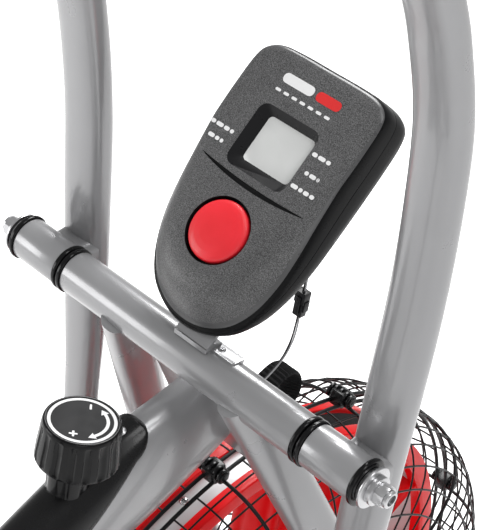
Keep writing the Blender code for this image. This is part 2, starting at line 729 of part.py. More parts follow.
def build_cranks():
    cylinder("crank_spindle", SPINDLE_R, (rel(-CRANK_IN + GAP, CRANK_Y, CRANK_Z),
                                          rel(CRANK_IN - GAP, CRANK_Y, CRANK_Z)),
             CHROME, 20)
    for side, word in ((-1, "left"), (1, "right")):
        pin = pin_place(side)
        reach = (pin[0] - CRANK_Y, pin[1] - CRANK_Z)
        bar = plate(word + "_crank", [capsule((0, 0), reach, 0.017, 0.013)], CRANK_T,
                    rel(side * (CRANK_IN + CRANK_T / 2), CRANK_Y, CRANK_Z), CHROME)
        bar = to_mesh(bar)
        start = CRANK_IN + CRANK_T / 2
        pedal_pin = cylinder(word + "_pedal_pin", PEDAL_PIN_R,
                             (rel(side * start, *pin), rel(side * (PEDAL_IN + PEDAL_W - 0.006),
                                                           *pin)), segments=16)
        boolean(bar, pedal_pin, "UNION")
        build_pedal(side, word, pin)
        build_link(side, word, pin)


def build_pedal(side, word, pin):
    centre = rel(side * (PEDAL_IN + PEDAL_W / 2), *pin)
    pedal = box(word + "_pedal", (PEDAL_W, 0.098, 0.024), centre, RUBBER)
    bore = cylinder(word + "_pedal_bore", PEDAL_PIN_R + GAP,
                    (rel(side * (PEDAL_IN - 0.01), *pin), rel(side * (PEDAL_IN + PEDAL_W - 0.004), *pin)),
                    is_cutter=True, segments=16)
    boolean(pedal, bore)
    half = PEDAL_W / 2 - 0.004
    arch_outer = [(half * math.cos(t), 0.058 * math.sin(t)) for t in [math.pi * i / 12 for i in range(13)]]
    arch_inner = [((half - 0.003) * math.cos(t),
                   0.055 * math.sin(t)) for t in [math.pi * (12 - i) / 12 for i in range(13)]]
    strap = plate(word + "_strap", [arch_outer + arch_inner], 0.028, centre + Vector((0, 0.012, 0.010)),
                  RUBBER, axes="XZ")
    boolean(pedal, to_mesh(strap), "UNION")


def build_link(side, word, pin):
    """The bar from the crank pin to the foot of the arm."""
    eye = turned_by(-side * ARM_SWING, *LINK_PIVOT)
    reach = (eye[0] - pin[0], eye[1] - pin[1])
    outline = capsule((0, 0), reach, 0.014, 0.014)
    plate(word + "_link", [outline, circle(PEDAL_PIN_R + GAP, count=16)], LINK_T,
          rel(side * (LINK_IN + LINK_T / 2), *pin), CHROME)


def build_chain_guard():
    """Flat case over the drive between the cranks and the fan axle."""
    crank = (CRANK_Y, CRANK_Z)
    axle = (WHEEL_Y, WHEEL_Z)
    outline = capsule(crank, axle, 0.085, 0.045, 13)
    plate("drive_case", [outline, circle(SPINDLE_R + 0.001, crank), circle(FAN_AXLE_R + 0.001, axle)], 0.021,
          rel(0.1012, 0, 0), BLACK_PLASTIC)


# ---------------------------------------------------------------- tension control

def build_tension():
    """A saddle over the main tube carries a boss and a fluted knob that turns upright."""
    first, last = 1, 4
    points = [main_point(i) for i in range(first, last + 1)]
    points[0] = points[0].lerp(points[1], 0.46)
    sizes = [MAIN_PATH[i][2] * 1.10 for i in range(first, last + 1)]
    sizes[0] += (sizes[1] - sizes[0]) * 0.46
    cover = to_mesh(tube("tension_cover", points, MAIN_HALF_Z, BLACK_PLASTIC,
                         squash=MAIN_HALF_X / MAIN_HALF_Z * 1.12,
                         sizes=sizes, resolution=6, smoothness=4))
    boss = cylinder("cover_boss", 0.021, (rel(0, KNOB_Y - 0.004, -0.112),
                                          rel(0, KNOB_Y, KNOB_Z - KNOB_H - 0.001)))
    slope = math.atan2(MAIN_PATH[2][1] - MAIN_PATH[4][1], MAIN_PATH[2][0] - MAIN_PATH[4][0])
    under = box("cover_under", (0.2, 0.4, 0.12), rel(0, -0.10, -0.140 - 0.050), is_cutter=True,
                rotation=(slope, 0, 0))
    boolean(cover, boss, "UNION")
    boolean(cover, main_core("cover_core"))
    boolean(cover, under)
    front = box("cover_front", (0.2, 0.3, 0.12), rel(0, -0.0107, -0.1475), is_cutter=True,
                rotation=(math.radians(58.5), 0, 0))
    boolean(cover, front)
    seat = cylinder("knob_seat", KNOB_R + 0.002, (rel(0, KNOB_Y, KNOB_Z - KNOB_H - 0.0005),
                                                  rel(0, KNOB_Y, 0.05)),
                    is_cutter=True)
    boolean(cover, seat)
    smooth(cover)
    knob = [(0, 0), (KNOB_R - 0.003, 0), (KNOB_R - 0.0005, -0.003), (KNOB_R + 0.001, -KNOB_H), (0, -KNOB_H)]
    lathe("tension_knob", knob, rel(0, KNOB_Y, KNOB_Z), (0, 0, 1), GLOSS_BLACK, 32, closed=False)


# ---------------------------------------------------------------- console

def console_matrix():
    """Console frame: x across, y up the face, z out of the face."""
    return Matrix.Translation(rel(0, *LCD_AT)) @ Matrix.Rotation(FACE_TILT, 4, "X")


def console_outline(inset=0.0, taper=0.0):
    """Wide at the top, narrowing to a round nose; taper draws the nose end in as well."""
    half = [(0.000, 0.075), (0.030, 0.075), (0.0500, 0.0735), (0.0620, 0.068), (0.0675, 0.057),
            (0.0690, 0.030),
            (0.0690, 0.000), (0.0685, -0.035), (0.0675, -0.065), (0.0640, -0.092), (0.0560, -0.117),
            (0.0420, -0.137), (0.022, -0.1490), (0.000, -0.1530)]
    centre = Vector((0, -0.038))
    points = []
    for x, s in half + [(-x, s) for x, s in half[-2:0:-1]]:
        arm = Vector((x, s)) - centre
        drawn = inset + taper * max(0.0, -s / 0.153)
        points.append(tuple(centre + arm * (1 - drawn / arm.length)))
    return points


def nose_drop(s):
    """How far the rim of the face falls below its middle: nothing at the top, most at the nose."""
    return 0.030 * max(0.0, -s / 0.149) ** 1.2


def build_console():
    matrix = console_matrix()
    bm = bmesh.new()
    layers = [(0.0015, 0.005, lambda s: PARTING_H - nose_drop(s) * 0.5),
              (0.0, 0.0, lambda s: 0.002 - nose_drop(s)),
              (0.0035, 0.0, lambda s: FACE_H - 0.001 - nose_drop(s)),
              (0.013, 0.0, lambda s: FACE_H - nose_drop(s) * 0.45),
              (0.028, 0.0, lambda s: FACE_H - nose_drop(s) * 0.08)]
    rings = [[bm.verts.new((x, s, height(s))) for x, s in console_outline(inset, taper)]
             for inset, taper, height in layers]
    count = len(rings[0])
    for lower, upper in zip(rings, rings[1:]):
        for i in range(count):
            j = (i + 1) % count
            bm.faces.new((lower[i], upper[i], upper[j], lower[j]))
    bm.faces.new(rings[-1])
    bm.faces.new(list(reversed(rings[0])))
    bmesh.ops.recalc_face_normals(bm, faces=bm.faces)
    bmesh.ops.triangulate(bm, faces=bm.faces)
    front = mesh_from("console_front", bm, CONSOLE_GREY)
    front.matrix_world = matrix
    window = box("window_cut", (0.060, 0.056, 0.05), (0, 0, 0), is_cutter=True)
    window.matrix_world = matrix @ Matrix.Translation((-0.002, 0, 0.0245))
    boolean(front, window)
    well = cylinder("button_well", BUTTON_HOLE_R, ((0, BUTTON_S, -0.006), (0, BUTTON_S, 0.03)),
                    is_cutter=True, segments=32)
    bpy.context.view_layer.update()
    well.matrix_world = matrix @ well.matrix_world
    boolean(front, well)
    build_console_back(matrix)
    lens = box("display_lens", (0.0585, 0.0545, 0.002), (0, 0, 0), DISPLAY)
    lens.matrix_world = matrix @ Matrix.Translation((-0.002, 0, 0.001))
    profile = [(0, 0.0115), (0.012, 0.0110), (BUTTON_R - 0.003, 0.0090), (BUTTON_R, 0.0060),
               (BUTTON_R, -0.0030),
               (0, -0.0030)]
    button = lathe("mode_button", profile, (0, 0, 0), (0, 0, 1), BUTTON_RED, 32, closed=False)
    button.matrix_world = matrix @ Matrix.Translation((0, BUTTON_S, 0))


def build_console_back(matrix):
    bm = bmesh.new()
    layers = [(0.0015, 0.005, lambda s: PARTING_H - GAP - nose_drop(s) * 0.5),
              (0.0, 0.006, lambda s: PARTING_H - 0.003 - nose_drop(s) * 0.5),
              (0.0, 0.012, lambda s: BACK_H + 0.006 - nose_drop(s) * 0.1), (0.006, 0.012, lambda s: BACK_H)]
    rings = [[bm.verts.new((x, s, height(s))) for x, s in console_outline(inset, taper)]
             for inset, taper, height in layers]
    count = len(rings[0])
    for lower, upper in zip(rings, rings[1:]):
        for i in range(count):
            j = (i + 1) % count
            bm.faces.new((lower[i], upper[i], upper[j], lower[j]))
    bm.faces.new(rings[-1])
    bm.faces.new(list(reversed(rings[0])))
    bmesh.ops.recalc_face_normals(bm, faces=bm.faces)
    bmesh.ops.triangulate(bm, faces=bm.faces)
    back = mesh_from("console_back", bm, GLOSS_BLACK)
    back.matrix_world = matrix


def build_console_mount():
    """Bent plate from the top of the cross tube to the back of the console."""
    along = Vector((math.cos(FACE_TILT), math.sin(FACE_TILT)))
    behind = Vector((math.sin(FACE_TILT), -math.cos(FACE_TILT)))
    start = Vector(LCD_AT) + behind * (GAP - BACK_H)
    low = start - along * 0.158
    high = start - along * 0.075
    thick = behind * 0.0025
    outline = [(-0.016, 0.0195), (0.010, 0.0195), (0.010, 0.0220), tuple(low + thick + along * 0.004),
               tuple(high + thick), tuple(high), tuple(low), (-0.0095, 0.0220), (-0.016, 0.0220)]
    plate("console_bracket", [outline], 0.036, rel(0.010, 0, 0), SILVER)


def build_leads():
    """The console's lead hangs down to a connector; the sensor's lead runs on to the crown."""
    box("lead_connector", (0.011, 0.009, 0.024), rel(*CONNECTOR_AT), BLACK_PLASTIC, bevel=0.0012)
    lead("console_lead", CONSOLE_LEAD)
    lead("sensor_lead", SENSOR_LEAD)


def smooth_route(points, spacing):
    """Evenly spaced points on a smooth curve through the given ones."""
    knots = [Vector(p) for p in points]
    knots = [2 * knots[0] - knots[1]] + knots + [2 * knots[-1] - knots[-2]]
    fine = []
    for a, b, c, d in zip(knots, knots[1:], knots[2:], knots[3:]):
        for i in range(16):
            t = i / 16
            fine.append(0.5 * (2 * b + (c - a) * t + (2 * a - 5 * b + 4 * c - d) * t * t
                               + (3 * b - a - 3 * c + d) * t ** 3))
    fine.append(knots[-2])
    route = [fine[0]]
    for point in fine[1:-1]:
        if (point - route[-1]).length >= spacing:
            route.append(point)
    if (fine[-1] - route[-1]).length < spacing / 2:
        route.pop()
    return route + [fine[-1]]


def lead(name, points):
    curve = bpy.data.curves.new(name, "CURVE")
    curve.dimensions = "3D"
    curve.bevel_depth = LEAD_R
    curve.bevel_resolution = 2
    curve.render_resolution_u = 0
    curve.use_fill_caps = True
    route = smooth_route([rel(*p) for p in points], 5 * LEAD_R)
    spline = curve.splines.new("POLY")
    spline.points.add(len(route) - 1)
    for i, point in enumerate(route):
        spline.points[i].co = (*point, 1)
    return add_object(name, curve, BLACK_PLASTIC)


build_cross_tube()
build_fork_legs()
build_crown()
build_main_tube()
build_stays()
build_crank_frame()
build_seat()
build_stabilizers()
build_pivot_stack()
build_arms()
build_fan_wheel()
build_cage()
build_clips()
build_brake_webbing()
build_cranks()
build_chain_guard()
build_tension()
build_console()
build_console_mount()
build_leads()
bpy.context.view_layer.update()
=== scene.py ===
import math

import bmesh
import bpy
from mathutils import Matrix, Vector, noise


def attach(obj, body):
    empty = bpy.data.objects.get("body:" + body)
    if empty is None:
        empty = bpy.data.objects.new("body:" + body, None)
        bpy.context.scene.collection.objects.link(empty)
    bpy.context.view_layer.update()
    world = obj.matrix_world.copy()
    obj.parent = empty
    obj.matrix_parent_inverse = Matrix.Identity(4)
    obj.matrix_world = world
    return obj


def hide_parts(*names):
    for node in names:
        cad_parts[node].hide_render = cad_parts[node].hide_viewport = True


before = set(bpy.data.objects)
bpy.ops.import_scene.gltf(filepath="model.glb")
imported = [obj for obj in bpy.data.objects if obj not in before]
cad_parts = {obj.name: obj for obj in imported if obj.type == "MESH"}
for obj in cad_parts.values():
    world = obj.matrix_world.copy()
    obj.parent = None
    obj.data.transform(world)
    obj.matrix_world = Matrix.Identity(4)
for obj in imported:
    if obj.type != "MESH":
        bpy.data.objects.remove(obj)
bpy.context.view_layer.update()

# Places are given from the arm pivot, in metres, as in the CAD.
ORIGIN = Vector((0, 0.0765, 0.82))
SIDES = ((-1, "left"), (1, "right"))
SWING = math.radians(3.2)                    # of the arms at rest, one forwards and one backwards
WHEEL = Vector((0, 0.165, -0.475))
RIM_X = Vector((-0.0145, 0, 0))              # the rim stands left of the middle
WHEEL_R = 0.293
BAND_R = 0.2865                              # the rim's grey band, which the brake strap lies on
CRANK = Vector((0, -0.28, -0.49))
CRANK_TURN = math.radians(117.89248180054575)
CRANK_R = 0.115
ARM_FOOT = (0.064, -0.385)                   # the pin that the link hangs on
LEG_LEAN = 0.5736                            # forwards per metre down
BAR_R = 0.025
BAR_HALF = 0.225
BAR_Z = 0.0265
BAR_Y = {"front": -0.005 + LEG_LEAN * 0.762, "rear": -0.604}
SEAT_LEAN = math.radians(14)
SEAT_UP = Vector((0, -math.sin(SEAT_LEAN), math.cos(SEAT_LEAN)))
SEAT_FOOT = ORIGIN + Vector((0, -0.405, -0.310))
SEAT_RISE = 0.340                            # from the tube's foot to the saddle
FACE_TILT = math.radians(49.1)
LCD_AT = (0.070, 0.167)
BUTTON_S = -0.079                            # along the console's face, from the display


def rel(x, y, z):
    return ORIGIN + Vector((x, y, z))


def beside(side, x, place):
    """A place of the wheel or the crank, moved out to one side."""
    return ORIGIN + Vector((side * x, place.y, place.z))


def on_wheel(degrees):
    """Directions out of the wheel and along its rim, from the top and forwards."""
    t = math.radians(degrees)
    return Vector((0, math.sin(t), math.cos(t))), Vector((0, math.cos(t), -math.sin(t)))


# ------------------------------------------------------------------ materials

class Graph:
    """A few short calls for building a node tree."""

    def __init__(self, name, colour=(0.8, 0.8, 0.8)):
        self.mat = bpy.data.materials.new(name)
        self.mat.use_nodes = True
        self.mat.diffuse_color = (*colour, 1)
        self.tree = self.mat.node_tree
        self.shader = self.tree.nodes["Principled BSDF"]
        self.coords = self.node("ShaderNodeTexCoord").outputs["Object"]

    def node(self, kind, **values):
        """Adds a node; a value is one of its settings or, failing that, one of its inputs."""
        n = self.tree.nodes.new(kind)
        for key, value in values.items():
            if hasattr(n, key):
                setattr(n, key, value)
            else:
                n.inputs[key].default_value = value
        return n

    def link(self, a, b):
        self.tree.links.new(a, b)

    def texture(self, kind, **values):
        n = self.node("ShaderNodeTex" + kind, **values)
        self.link(self.coords, n.inputs["Vector"])
        return n

    def noise(self, scale, detail=3.0, rough=0.55):
        return self.texture("Noise", Scale=scale, Detail=detail, Roughness=rough).outputs["Fac"]

    def ramp(self, fac, stops):
        n = self.node("ShaderNodeValToRGB")
        ramp = n.color_ramp
        for element, (at, colour) in zip(ramp.elements, (stops[0], stops[-1])):
            element.position = at
            element.color = (*colour, 1)
        for at, colour in stops[1:-1]:
            ramp.elements.new(at).color = (*colour, 1)
        self.link(fac, n.inputs["Fac"])
        return n.outputs["Color"]

    def between(self, low, high, scale, detail):
        """A colour or grey that wanders between two values."""
        return self.ramp(self.noise(scale, detail), [(0.3, low), (0.7, high)])

    def mix(self, first, second, fac, blend="MIX"):
        n = self.node("ShaderNodeMixRGB", blend_type=blend, Fac=fac)
        self.link(first, n.inputs["Color1"])
        self.link(second, n.inputs["Color2"])
        return n.outputs["Color"]

    def bump(self, height, strength, distance=0.001, normal=None):
        n = self.node("ShaderNodeBump", Strength=strength, Distance=distance)
        self.link(height, n.inputs["Height"])
        if normal:
            self.link(normal, n.inputs["Normal"])
        return n.outputs["Normal"]

    def put(self, **values):
        """Sets or links the shader's inputs; an underscore in a name stands for a space."""
        for key, value in values.items():
            target = self.shader.inputs[key.replace("_", " ")]
            if hasattr(value, "node"):
                self.link(value, target)
            else:
                target.default_value = value
        return self.mat


def shade(colour, factor):
    return tuple(min(1.0, c * factor) for c in colour)


def surface(name, colour, rough, metallic=0.0, coat=0.0, coat_rough=0.1, vary=0.06, vary_scale=35,
            rough_vary=0.05, grain=0.0, grain_scale=900, specular=0.5):
    """Paint, plastic or metal: uneven colour and gloss, and a fine grain."""
    g = Graph(name, colour)
    g.put(Base_Color=g.between(shade(colour, 1 - vary), shade(colour, 1 + vary), vary_scale, 4))
    low, high = max(0.02, rough - rough_vary), min(1.0, rough + rough_vary)
    g.put(Roughness=g.between((low,) * 3, (high,) * 3, vary_scale * 2.3, 5), Metallic=metallic)
    g.put(Specular_IOR_Level=specular, Coat_Weight=coat, Coat_Roughness=coat_rough)
    if grain:
        g.put(Normal=g.bump(g.noise(grain_scale, 2), grain, 0.0004))
    return g.mat


def speckled(name, dark, light, rough, scale=1500, bump=0.5):
    """Moulded plastic with a coarse spark-eroded texture; its light speckles are painted glints where the
    texture would catch the light.
    """
    g = Graph(name, light)
    middle = tuple((a + b) / 2 for a, b in zip(dark, light))
    # The speckle colours are partly the plastic's grain and partly painted glints.
    grain_and_glint_specks = g.ramp(g.noise(scale, 2, 0.6), [(0.36, dark), (0.52, middle), (0.66, light)])
    shadow = g.between((0.92,) * 3, (1.0,) * 3, 30, 3)
    return g.put(Base_Color=g.mix(grain_and_glint_specks, shadow, 1.0, "MULTIPLY"), Roughness=rough,
                 Normal=g.bump(g.noise(scale * 0.8, 3), bump, 0.0005))


def woven(name, colour, scale=900, bump=0.6):
    """Webbing: ribs across the strap with a crossing thread."""
    g = Graph(name, colour)
    ribs = g.texture("Wave", bands_direction="X", Scale=scale, Distortion=0.6)
    cross = g.texture("Wave", bands_direction="DIAGONAL", Scale=scale * 0.7)
    weave = g.mix(ribs.outputs["Color"], cross.outputs["Color"], 0.35)
    return g.put(Base_Color=g.ramp(weave, [(0.2, shade(colour, 0.5)), (0.8, shade(colour, 1.6))]),
                 Roughness=0.7, Specular_IOR_Level=0.15, Normal=g.bump(weave, bump, 0.0008))


def leather(name, colour, rough=0.5):
    g = Graph(name, colour)
    cells = g.texture("Voronoi", Scale=420)
    pores = g.bump(cells.outputs["Distance"], 0.35, 0.0006)
    return g.put(Base_Color=g.between(shade(colour, 0.8), shade(colour, 1.25), 25, 4),
                 Roughness=g.between((rough - 0.08,) * 3, (rough + 0.08,) * 3, 60, 3),
                 Normal=g.bump(g.noise(160, 3), 0.2, 0.0008, pores))


PAINT = surface("silver_paint", (0.33, 0.33, 0.338), 0.30, 0.35, coat=0.50, coat_rough=0.05, vary=0.025,
                vary_scale=12, rough_vary=0.03)
RED = surface("red_gloss", (0.86, 0.003, 0.006), 0.32, 0.0, coat=0.08, coat_rough=0.06, vary=0.04,
              rough_vary=0.04, specular=0.22)
RED_BLADE = surface("red_blade", (0.80, 0.003, 0.006), 0.38, 0.0, coat=0.05, vary=0.07, vary_scale=14,
                    specular=0.2)
BAND_GREY = surface("band_grey", (0.58, 0.58, 0.59), 0.36, 0.25, vary=0.04, grain=0.08, grain_scale=1600)
WIRE = surface("black_wire", (0.008, 0.008, 0.009), 0.32, 0.0, vary=0.2, grain=0.05, specular=0.25)
BLACK = surface("black_plastic", (0.010, 0.010, 0.011), 0.36, 0.0, vary=0.15, grain=0.25, grain_scale=1500,
                specular=0.25)
BLACK_SATIN = surface("black_satin", (0.006, 0.006, 0.0065), 0.26, 0.0, coat=0.12, coat_rough=0.12,
                      vary=0.12, grain=0.06, grain_scale=1700, specular=0.25)
GLOSS = surface("gloss_black", (0.004, 0.004, 0.0045), 0.18, 0.0, vary=0.1, specular=0.24)
CONSOLE_SIDE = surface("console_side", (0.006, 0.006, 0.0065), 0.30, 0.0, vary=0.1, grain=0.06,
                       grain_scale=1400, specular=0.10)
# The face's lighter speckles are painted glints over the plastic's grain.
FACE = speckled("console_face", (0.030, 0.030, 0.031), (0.18, 0.18, 0.182), 0.32, scale=1300, bump=0.5)
# A lighter grey band along the console face's edge: a painted highlight line standing in for the light that
# the rounded rim catches.
RIM_HIGHLIGHT = surface("face_rim_highlight", (0.075, 0.075, 0.077), 0.30, 0.0, vary=0.05, grain=0.1, grain_scale=1400)
BEZEL = surface("bezel_black", (0.010, 0.010, 0.011), 0.30, 0.0, vary=0.1, grain=0.05, specular=0.2)
ZINC = surface("zinc_plate", (0.56, 0.56, 0.57), 0.30, 1.0, vary=0.05, rough_vary=0.06, grain=0.08,
               grain_scale=900)
DARK_STEEL = surface("dark_steel", (0.10, 0.10, 0.105), 0.35, 1.0, vary=0.15)
WHITE_PRINT = surface("white_print", (0.82, 0.82, 0.82), 0.45, vary=0.03)
RED_PRINT = surface("red_print", (0.70, 0.02, 0.02), 0.45, vary=0.03)
DISC = surface("knob_disc", (0.030, 0.030, 0.031), 0.55, vary=0.05, grain=0.1, grain_scale=1600,
               specular=0.10)
RUBBER = surface("rubber", (0.018, 0.018, 0.018), 0.62, vary=0.15, grain=0.35, grain_scale=1100)
FOAM = surface("foam_grip", (0.016, 0.016, 0.016), 0.88, vary=0.2, vary_scale=200, grain=0.9,
               grain_scale=1500)
VINYL = leather("seat_vinyl", (0.018, 0.018, 0.019), 0.48)
THREAD = surface("thread", (0.06, 0.06, 0.06), 0.7, vary=0.2, grain=0.5)
WEBBING = woven("webbing", (0.016, 0.016, 0.017), 700, 0.8)
BAND_STRAP = woven("band_strap", (0.005, 0.005, 0.0055), 500, 0.25)
LEAD_DARK = surface("lead_black", (0.015, 0.015, 0.016), 0.35, vary=0.1, grain=0.1)
LEAD_LIGHT = surface("lead_grey", (0.45, 0.45, 0.46), 0.35, vary=0.05, grain=0.1)


def make_lcd():
    g = Graph("lcd")
    return g.put(Base_Color=g.between((0.60, 0.61, 0.60), (0.70, 0.71, 0.70), 22, 2), Roughness=0.22,
                 Coat_Weight=0.4, Normal=g.bump(g.noise(1200, 1), 0.05, 0.0003))


def make_button():
    g = Graph("button_red")
    return g.put(Base_Color=g.between((0.80, 0.012, 0.022), (0.90, 0.02, 0.035), 30, 2), Roughness=0.42,
                 Subsurface_Weight=0.2, Subsurface_Radius=(0.02, 0.004, 0.004), Subsurface_Scale=0.05,
                 Coat_Weight=0.15, Coat_Roughness=0.12, Normal=g.bump(g.noise(900, 2), 0.04, 0.0003))


LCD = make_lcd()
BUTTON = make_button()


# ------------------------------------------------------------------ shapes

def add_piece(name, data, mats, body="frame"):
    obj = bpy.data.objects.new(name, data)
    bpy.context.scene.collection.objects.link(obj)
    mats = mats if isinstance(mats, list) else [mats]
    for mat in mats:
        data.materials.append(mat)
    if body:
        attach(obj, body)
    return obj


def from_bm(name, bm, mats, body="frame", angle=35, outwards=True):
    if outwards:
        bmesh.ops.recalc_face_normals(bm, faces=bm.faces)
    mesh = bpy.data.meshes.new(name)
    bm.to_mesh(mesh)
    bm.free()
    mesh.shade_smooth()
    mesh.set_sharp_from_angle(angle=math.radians(angle))
    return add_piece(name, mesh, mats, body)


def skin(bm, rings, mat=0, closed=True, ends=False):
    """Joins rings of the same number of points, or open rows if closed is false, and may cap the ends."""
    for r0, r1 in zip(rings, rings[1:]):
        for a, b, c, d in zip(r0, r0[1:] + r0[:1], r1[1:] + r1[:1], r1):
            if closed or b is not r0[0]:
                bm.faces.new((a, b, c, d)).material_index = mat
    if ends:
        for face in (bm.faces.new(rings[0][::-1]), bm.faces.new(rings[-1])):
            face.material_index = mat


def on_circle(axes, count=48):
    """Angles round an axis, each with its direction outwards."""
    u, v, _ = axes
    turns = [2 * math.pi * i / count for i in range(count)]
    return [(t, u * math.cos(t) + v * math.sin(t)) for t in turns]


def rod(radius, high, low=0.0):
    """The (r, h) profile of a solid rod."""
    return [(0, high), (radius, high), (radius, low), (0, low)]


def hollow(inner, outer, high, low=0.0):
    """The closed (r, h) profile of a tube or washer."""
    return [(inner, high), (outer, high), (outer, low), (inner, low)]


def axes_for(direction):
    w = Vector(direction).normalized()
    quat = w.to_track_quat("Z", "Y")
    return quat @ Vector((1, 0, 0)), quat @ Vector((0, 1, 0)), w


def turned(bm, profile, centre, direction, steps=72, mat=0, radius_of=None, closed=False):
    """Adds a turned surface; radius_of(angle, radius, height) may flute it."""
    axes = axes_for(direction)
    centre = Vector(centre)
    rings = []
    for r, h in profile:
        if r < 1e-7:
            rings.append([bm.verts.new(centre + axes[2] * h)])
        else:
            rings.append([bm.verts.new(centre + out * (radius_of(t, r, h) if radius_of else r) + axes[2] * h)
                          for t, out in on_circle(axes, steps)])
    for a, b in zip(rings, rings[1:] + rings[:1] if closed else rings[1:]):
        for i in range(steps):
            j = (i + 1) % steps
            if len(a) == 1 and len(b) == 1:
                continue
            if len(a) == 1:
                face = bm.faces.new((a[0], b[i], b[j]))
            elif len(b) == 1:
                face = bm.faces.new((a[i], b[0], a[j]))
            else:
                face = bm.faces.new((a[i], b[i], b[j], a[j]))
            face.material_index = mat


def rounded(profile, radius, steps=2):
    """Breaks the corners of an open (r, h) profile."""
    out = [profile[0]]
    for a, b, c in zip(profile, profile[1:], profile[2:]):
        pa, pb, pc = Vector(a), Vector(b), Vector(c)
        if b[0] < 1e-7:
            out.append(b)
            continue
        la, lc = (pa - pb).length, (pc - pb).length
        cut = min(radius, la * 0.45, lc * 0.45)
        if cut < 1e-6:
            out.append(b)
            continue
        p, q = pb + (pa - pb) / la * cut, pb + (pc - pb) / lc * cut
        for i in range(steps + 1):
            t = i / steps
            out.append(tuple(p * (1 - t) ** 2 + pb * 2 * t * (1 - t) + q * t ** 2))
    out.append(profile[-1])
    return out


def lathe(name, profile, centre, direction, mat, body="frame", steps=72, edge=0.0006,
          radius_of=None, closed=False):
    bm = bmesh.new()
    turned(bm, rounded(profile, edge) if edge else profile, centre, direction, steps, 0, radius_of, closed)
    return from_bm(name, bm, mat, body)


def smooth_stretches(knots, steps):
    """A smooth curve through all knots but the first and last."""
    out = []
    for a, b, c, d in zip(knots, knots[1:], knots[2:], knots[3:]):
        for t in (i / steps for i in range(steps)):
            out.append(0.5 * (2 * b + (c - a) * t + (2 * a - 5 * b + 4 * c - d) * t * t
                              + (3 * b - a - 3 * c + d) * t ** 3))
    return out


def smooth_path(points, steps=8):
    knots = [Vector(p) for p in points]
    return smooth_stretches([2 * knots[0] - knots[1]] + knots + [2 * knots[-1] - knots[-2]],
                            steps) + [knots[-1]]


def smooth_sizes(sizes, steps):
    return [v.x for v in smooth_path([Vector((size, 0, 0)) for size in sizes], steps)]


def oval(half_x, half_y, power=2.0, steps=48):
    """Section points (side, normal); a power above 2 flattens the sides."""
    out = []
    for i in range(steps):
        t = 2 * math.pi * i / steps
        c, s = math.cos(t), math.sin(t)
        out.append((half_x * math.copysign(abs(c) ** (2 / power), c),
                    half_y * math.copysign(abs(s) ** (2 / power), s)))
    return out


def swept(bm, path, section, sizes=None, side=(1, 0, 0), cap_round=0.0):
    """Sweeps a section along a path. side is the section's first axis, kept square to the path."""
    rings = []
    for i, p in enumerate(path):
        t = (path[min(i + 1, len(path) - 1)] - path[max(i - 1, 0)]).normalized()
        a = Vector(side)
        a = (a - t * a.dot(t)).normalized()
        b = t.cross(a)
        k = sizes[i] if sizes else 1.0
        rings.append([bm.verts.new(p + a * (x * k) + b * (y * k)) for x, y in section])
    skin(bm, rings)
    for end in (rings[0][::-1], rings[-1]):
        face = bm.faces.new(end)
        if cap_round:
            bmesh.ops.inset_individual(bm, faces=[face], thickness=cap_round, depth=cap_round * 0.5)


def sweep(name, path, section, mat, body="frame", slot=None, **more):
    bm = bmesh.new()
    swept(bm, path, section, **more)
    return from_bm(name, bm, mat, body)


def wires(name, runs, radius, mat, body="frame", cyclic=False, resolution=2):
    """Many round wires as one curve object."""
    curve = bpy.data.curves.new(name, "CURVE")
    curve.dimensions = "3D"
    curve.bevel_depth = radius
    curve.bevel_resolution = resolution
    curve.use_fill_caps = True
    for run in runs:
        spline = curve.splines.new("POLY")
        spline.points.add(len(run) - 1)
        spline.use_cyclic_u = cyclic
        spline.use_smooth = True
        for i, p in enumerate(run):
            spline.points[i].co = (*p, 1)
    return add_piece(name, curve, mat, body)


def slab(bm, outline, low, high, matrix, mat=0, bevel=0.0):
    """A flat outline (x, y) between two heights, in a frame of its own."""
    bottom, top = ([bm.verts.new(matrix @ Vector((x, y, h))) for x, y in outline] for h in (low, high))
    ends = [bm.faces.new(bottom[::-1]), bm.faces.new(top)]
    for face in ends:
        face.material_index = mat
    skin(bm, [bottom, top], mat)
    if bevel:
        edges = list({e for f in ends for e in f.edges})
        bmesh.ops.bevel(bm, geom=edges, offset=bevel, segments=2, profile=0.5, affect="EDGES",
                        clamp_overlap=True)


def plate(name, outline, low, high, matrix, mat, body="frame", bevel=0.0, angle=35):
    """A slab as a piece of its own."""
    bm = bmesh.new()
    slab(bm, outline, low, high, matrix, bevel=bevel)
    return from_bm(name, bm, mat, body, angle)


def capsule(start, stop, r0, r1, count=16):
    run = Vector(stop) - Vector(start)
    heading = math.atan2(run.y, run.x)
    lift = math.asin((r0 - r1) / run.length)
    out = []
    for centre, radius, a, b in ((start, r0, math.pi / 2 - lift, 1.5 * math.pi + lift),
                                 (stop, r1, -math.pi / 2 - lift, math.pi / 2 - lift)):
        if centre is stop:
            a, b = -math.pi / 2 + lift, math.pi / 2 - lift
        for i in range(count + 1):
            t = heading + a + (b - a) * i / count
            out.append((centre[0] + radius * math.cos(t), centre[1] + radius * math.sin(t)))
    return out


def round_rect(w, h, r, count=6, centre=(0, 0)):
    out = []
    for cx, cy, a in ((w / 2 - r, h / 2 - r, 0), (-w / 2 + r, h / 2 - r, 90), (-w / 2 + r, -h / 2 + r, 180),
                      (w / 2 - r, -h / 2 + r, 270)):
        for i in range(count + 1):
            t = math.radians(a + 90 * i / count)
            out.append((centre[0] + cx + r * math.cos(t), centre[1] + cy + r * math.sin(t)))
    return out


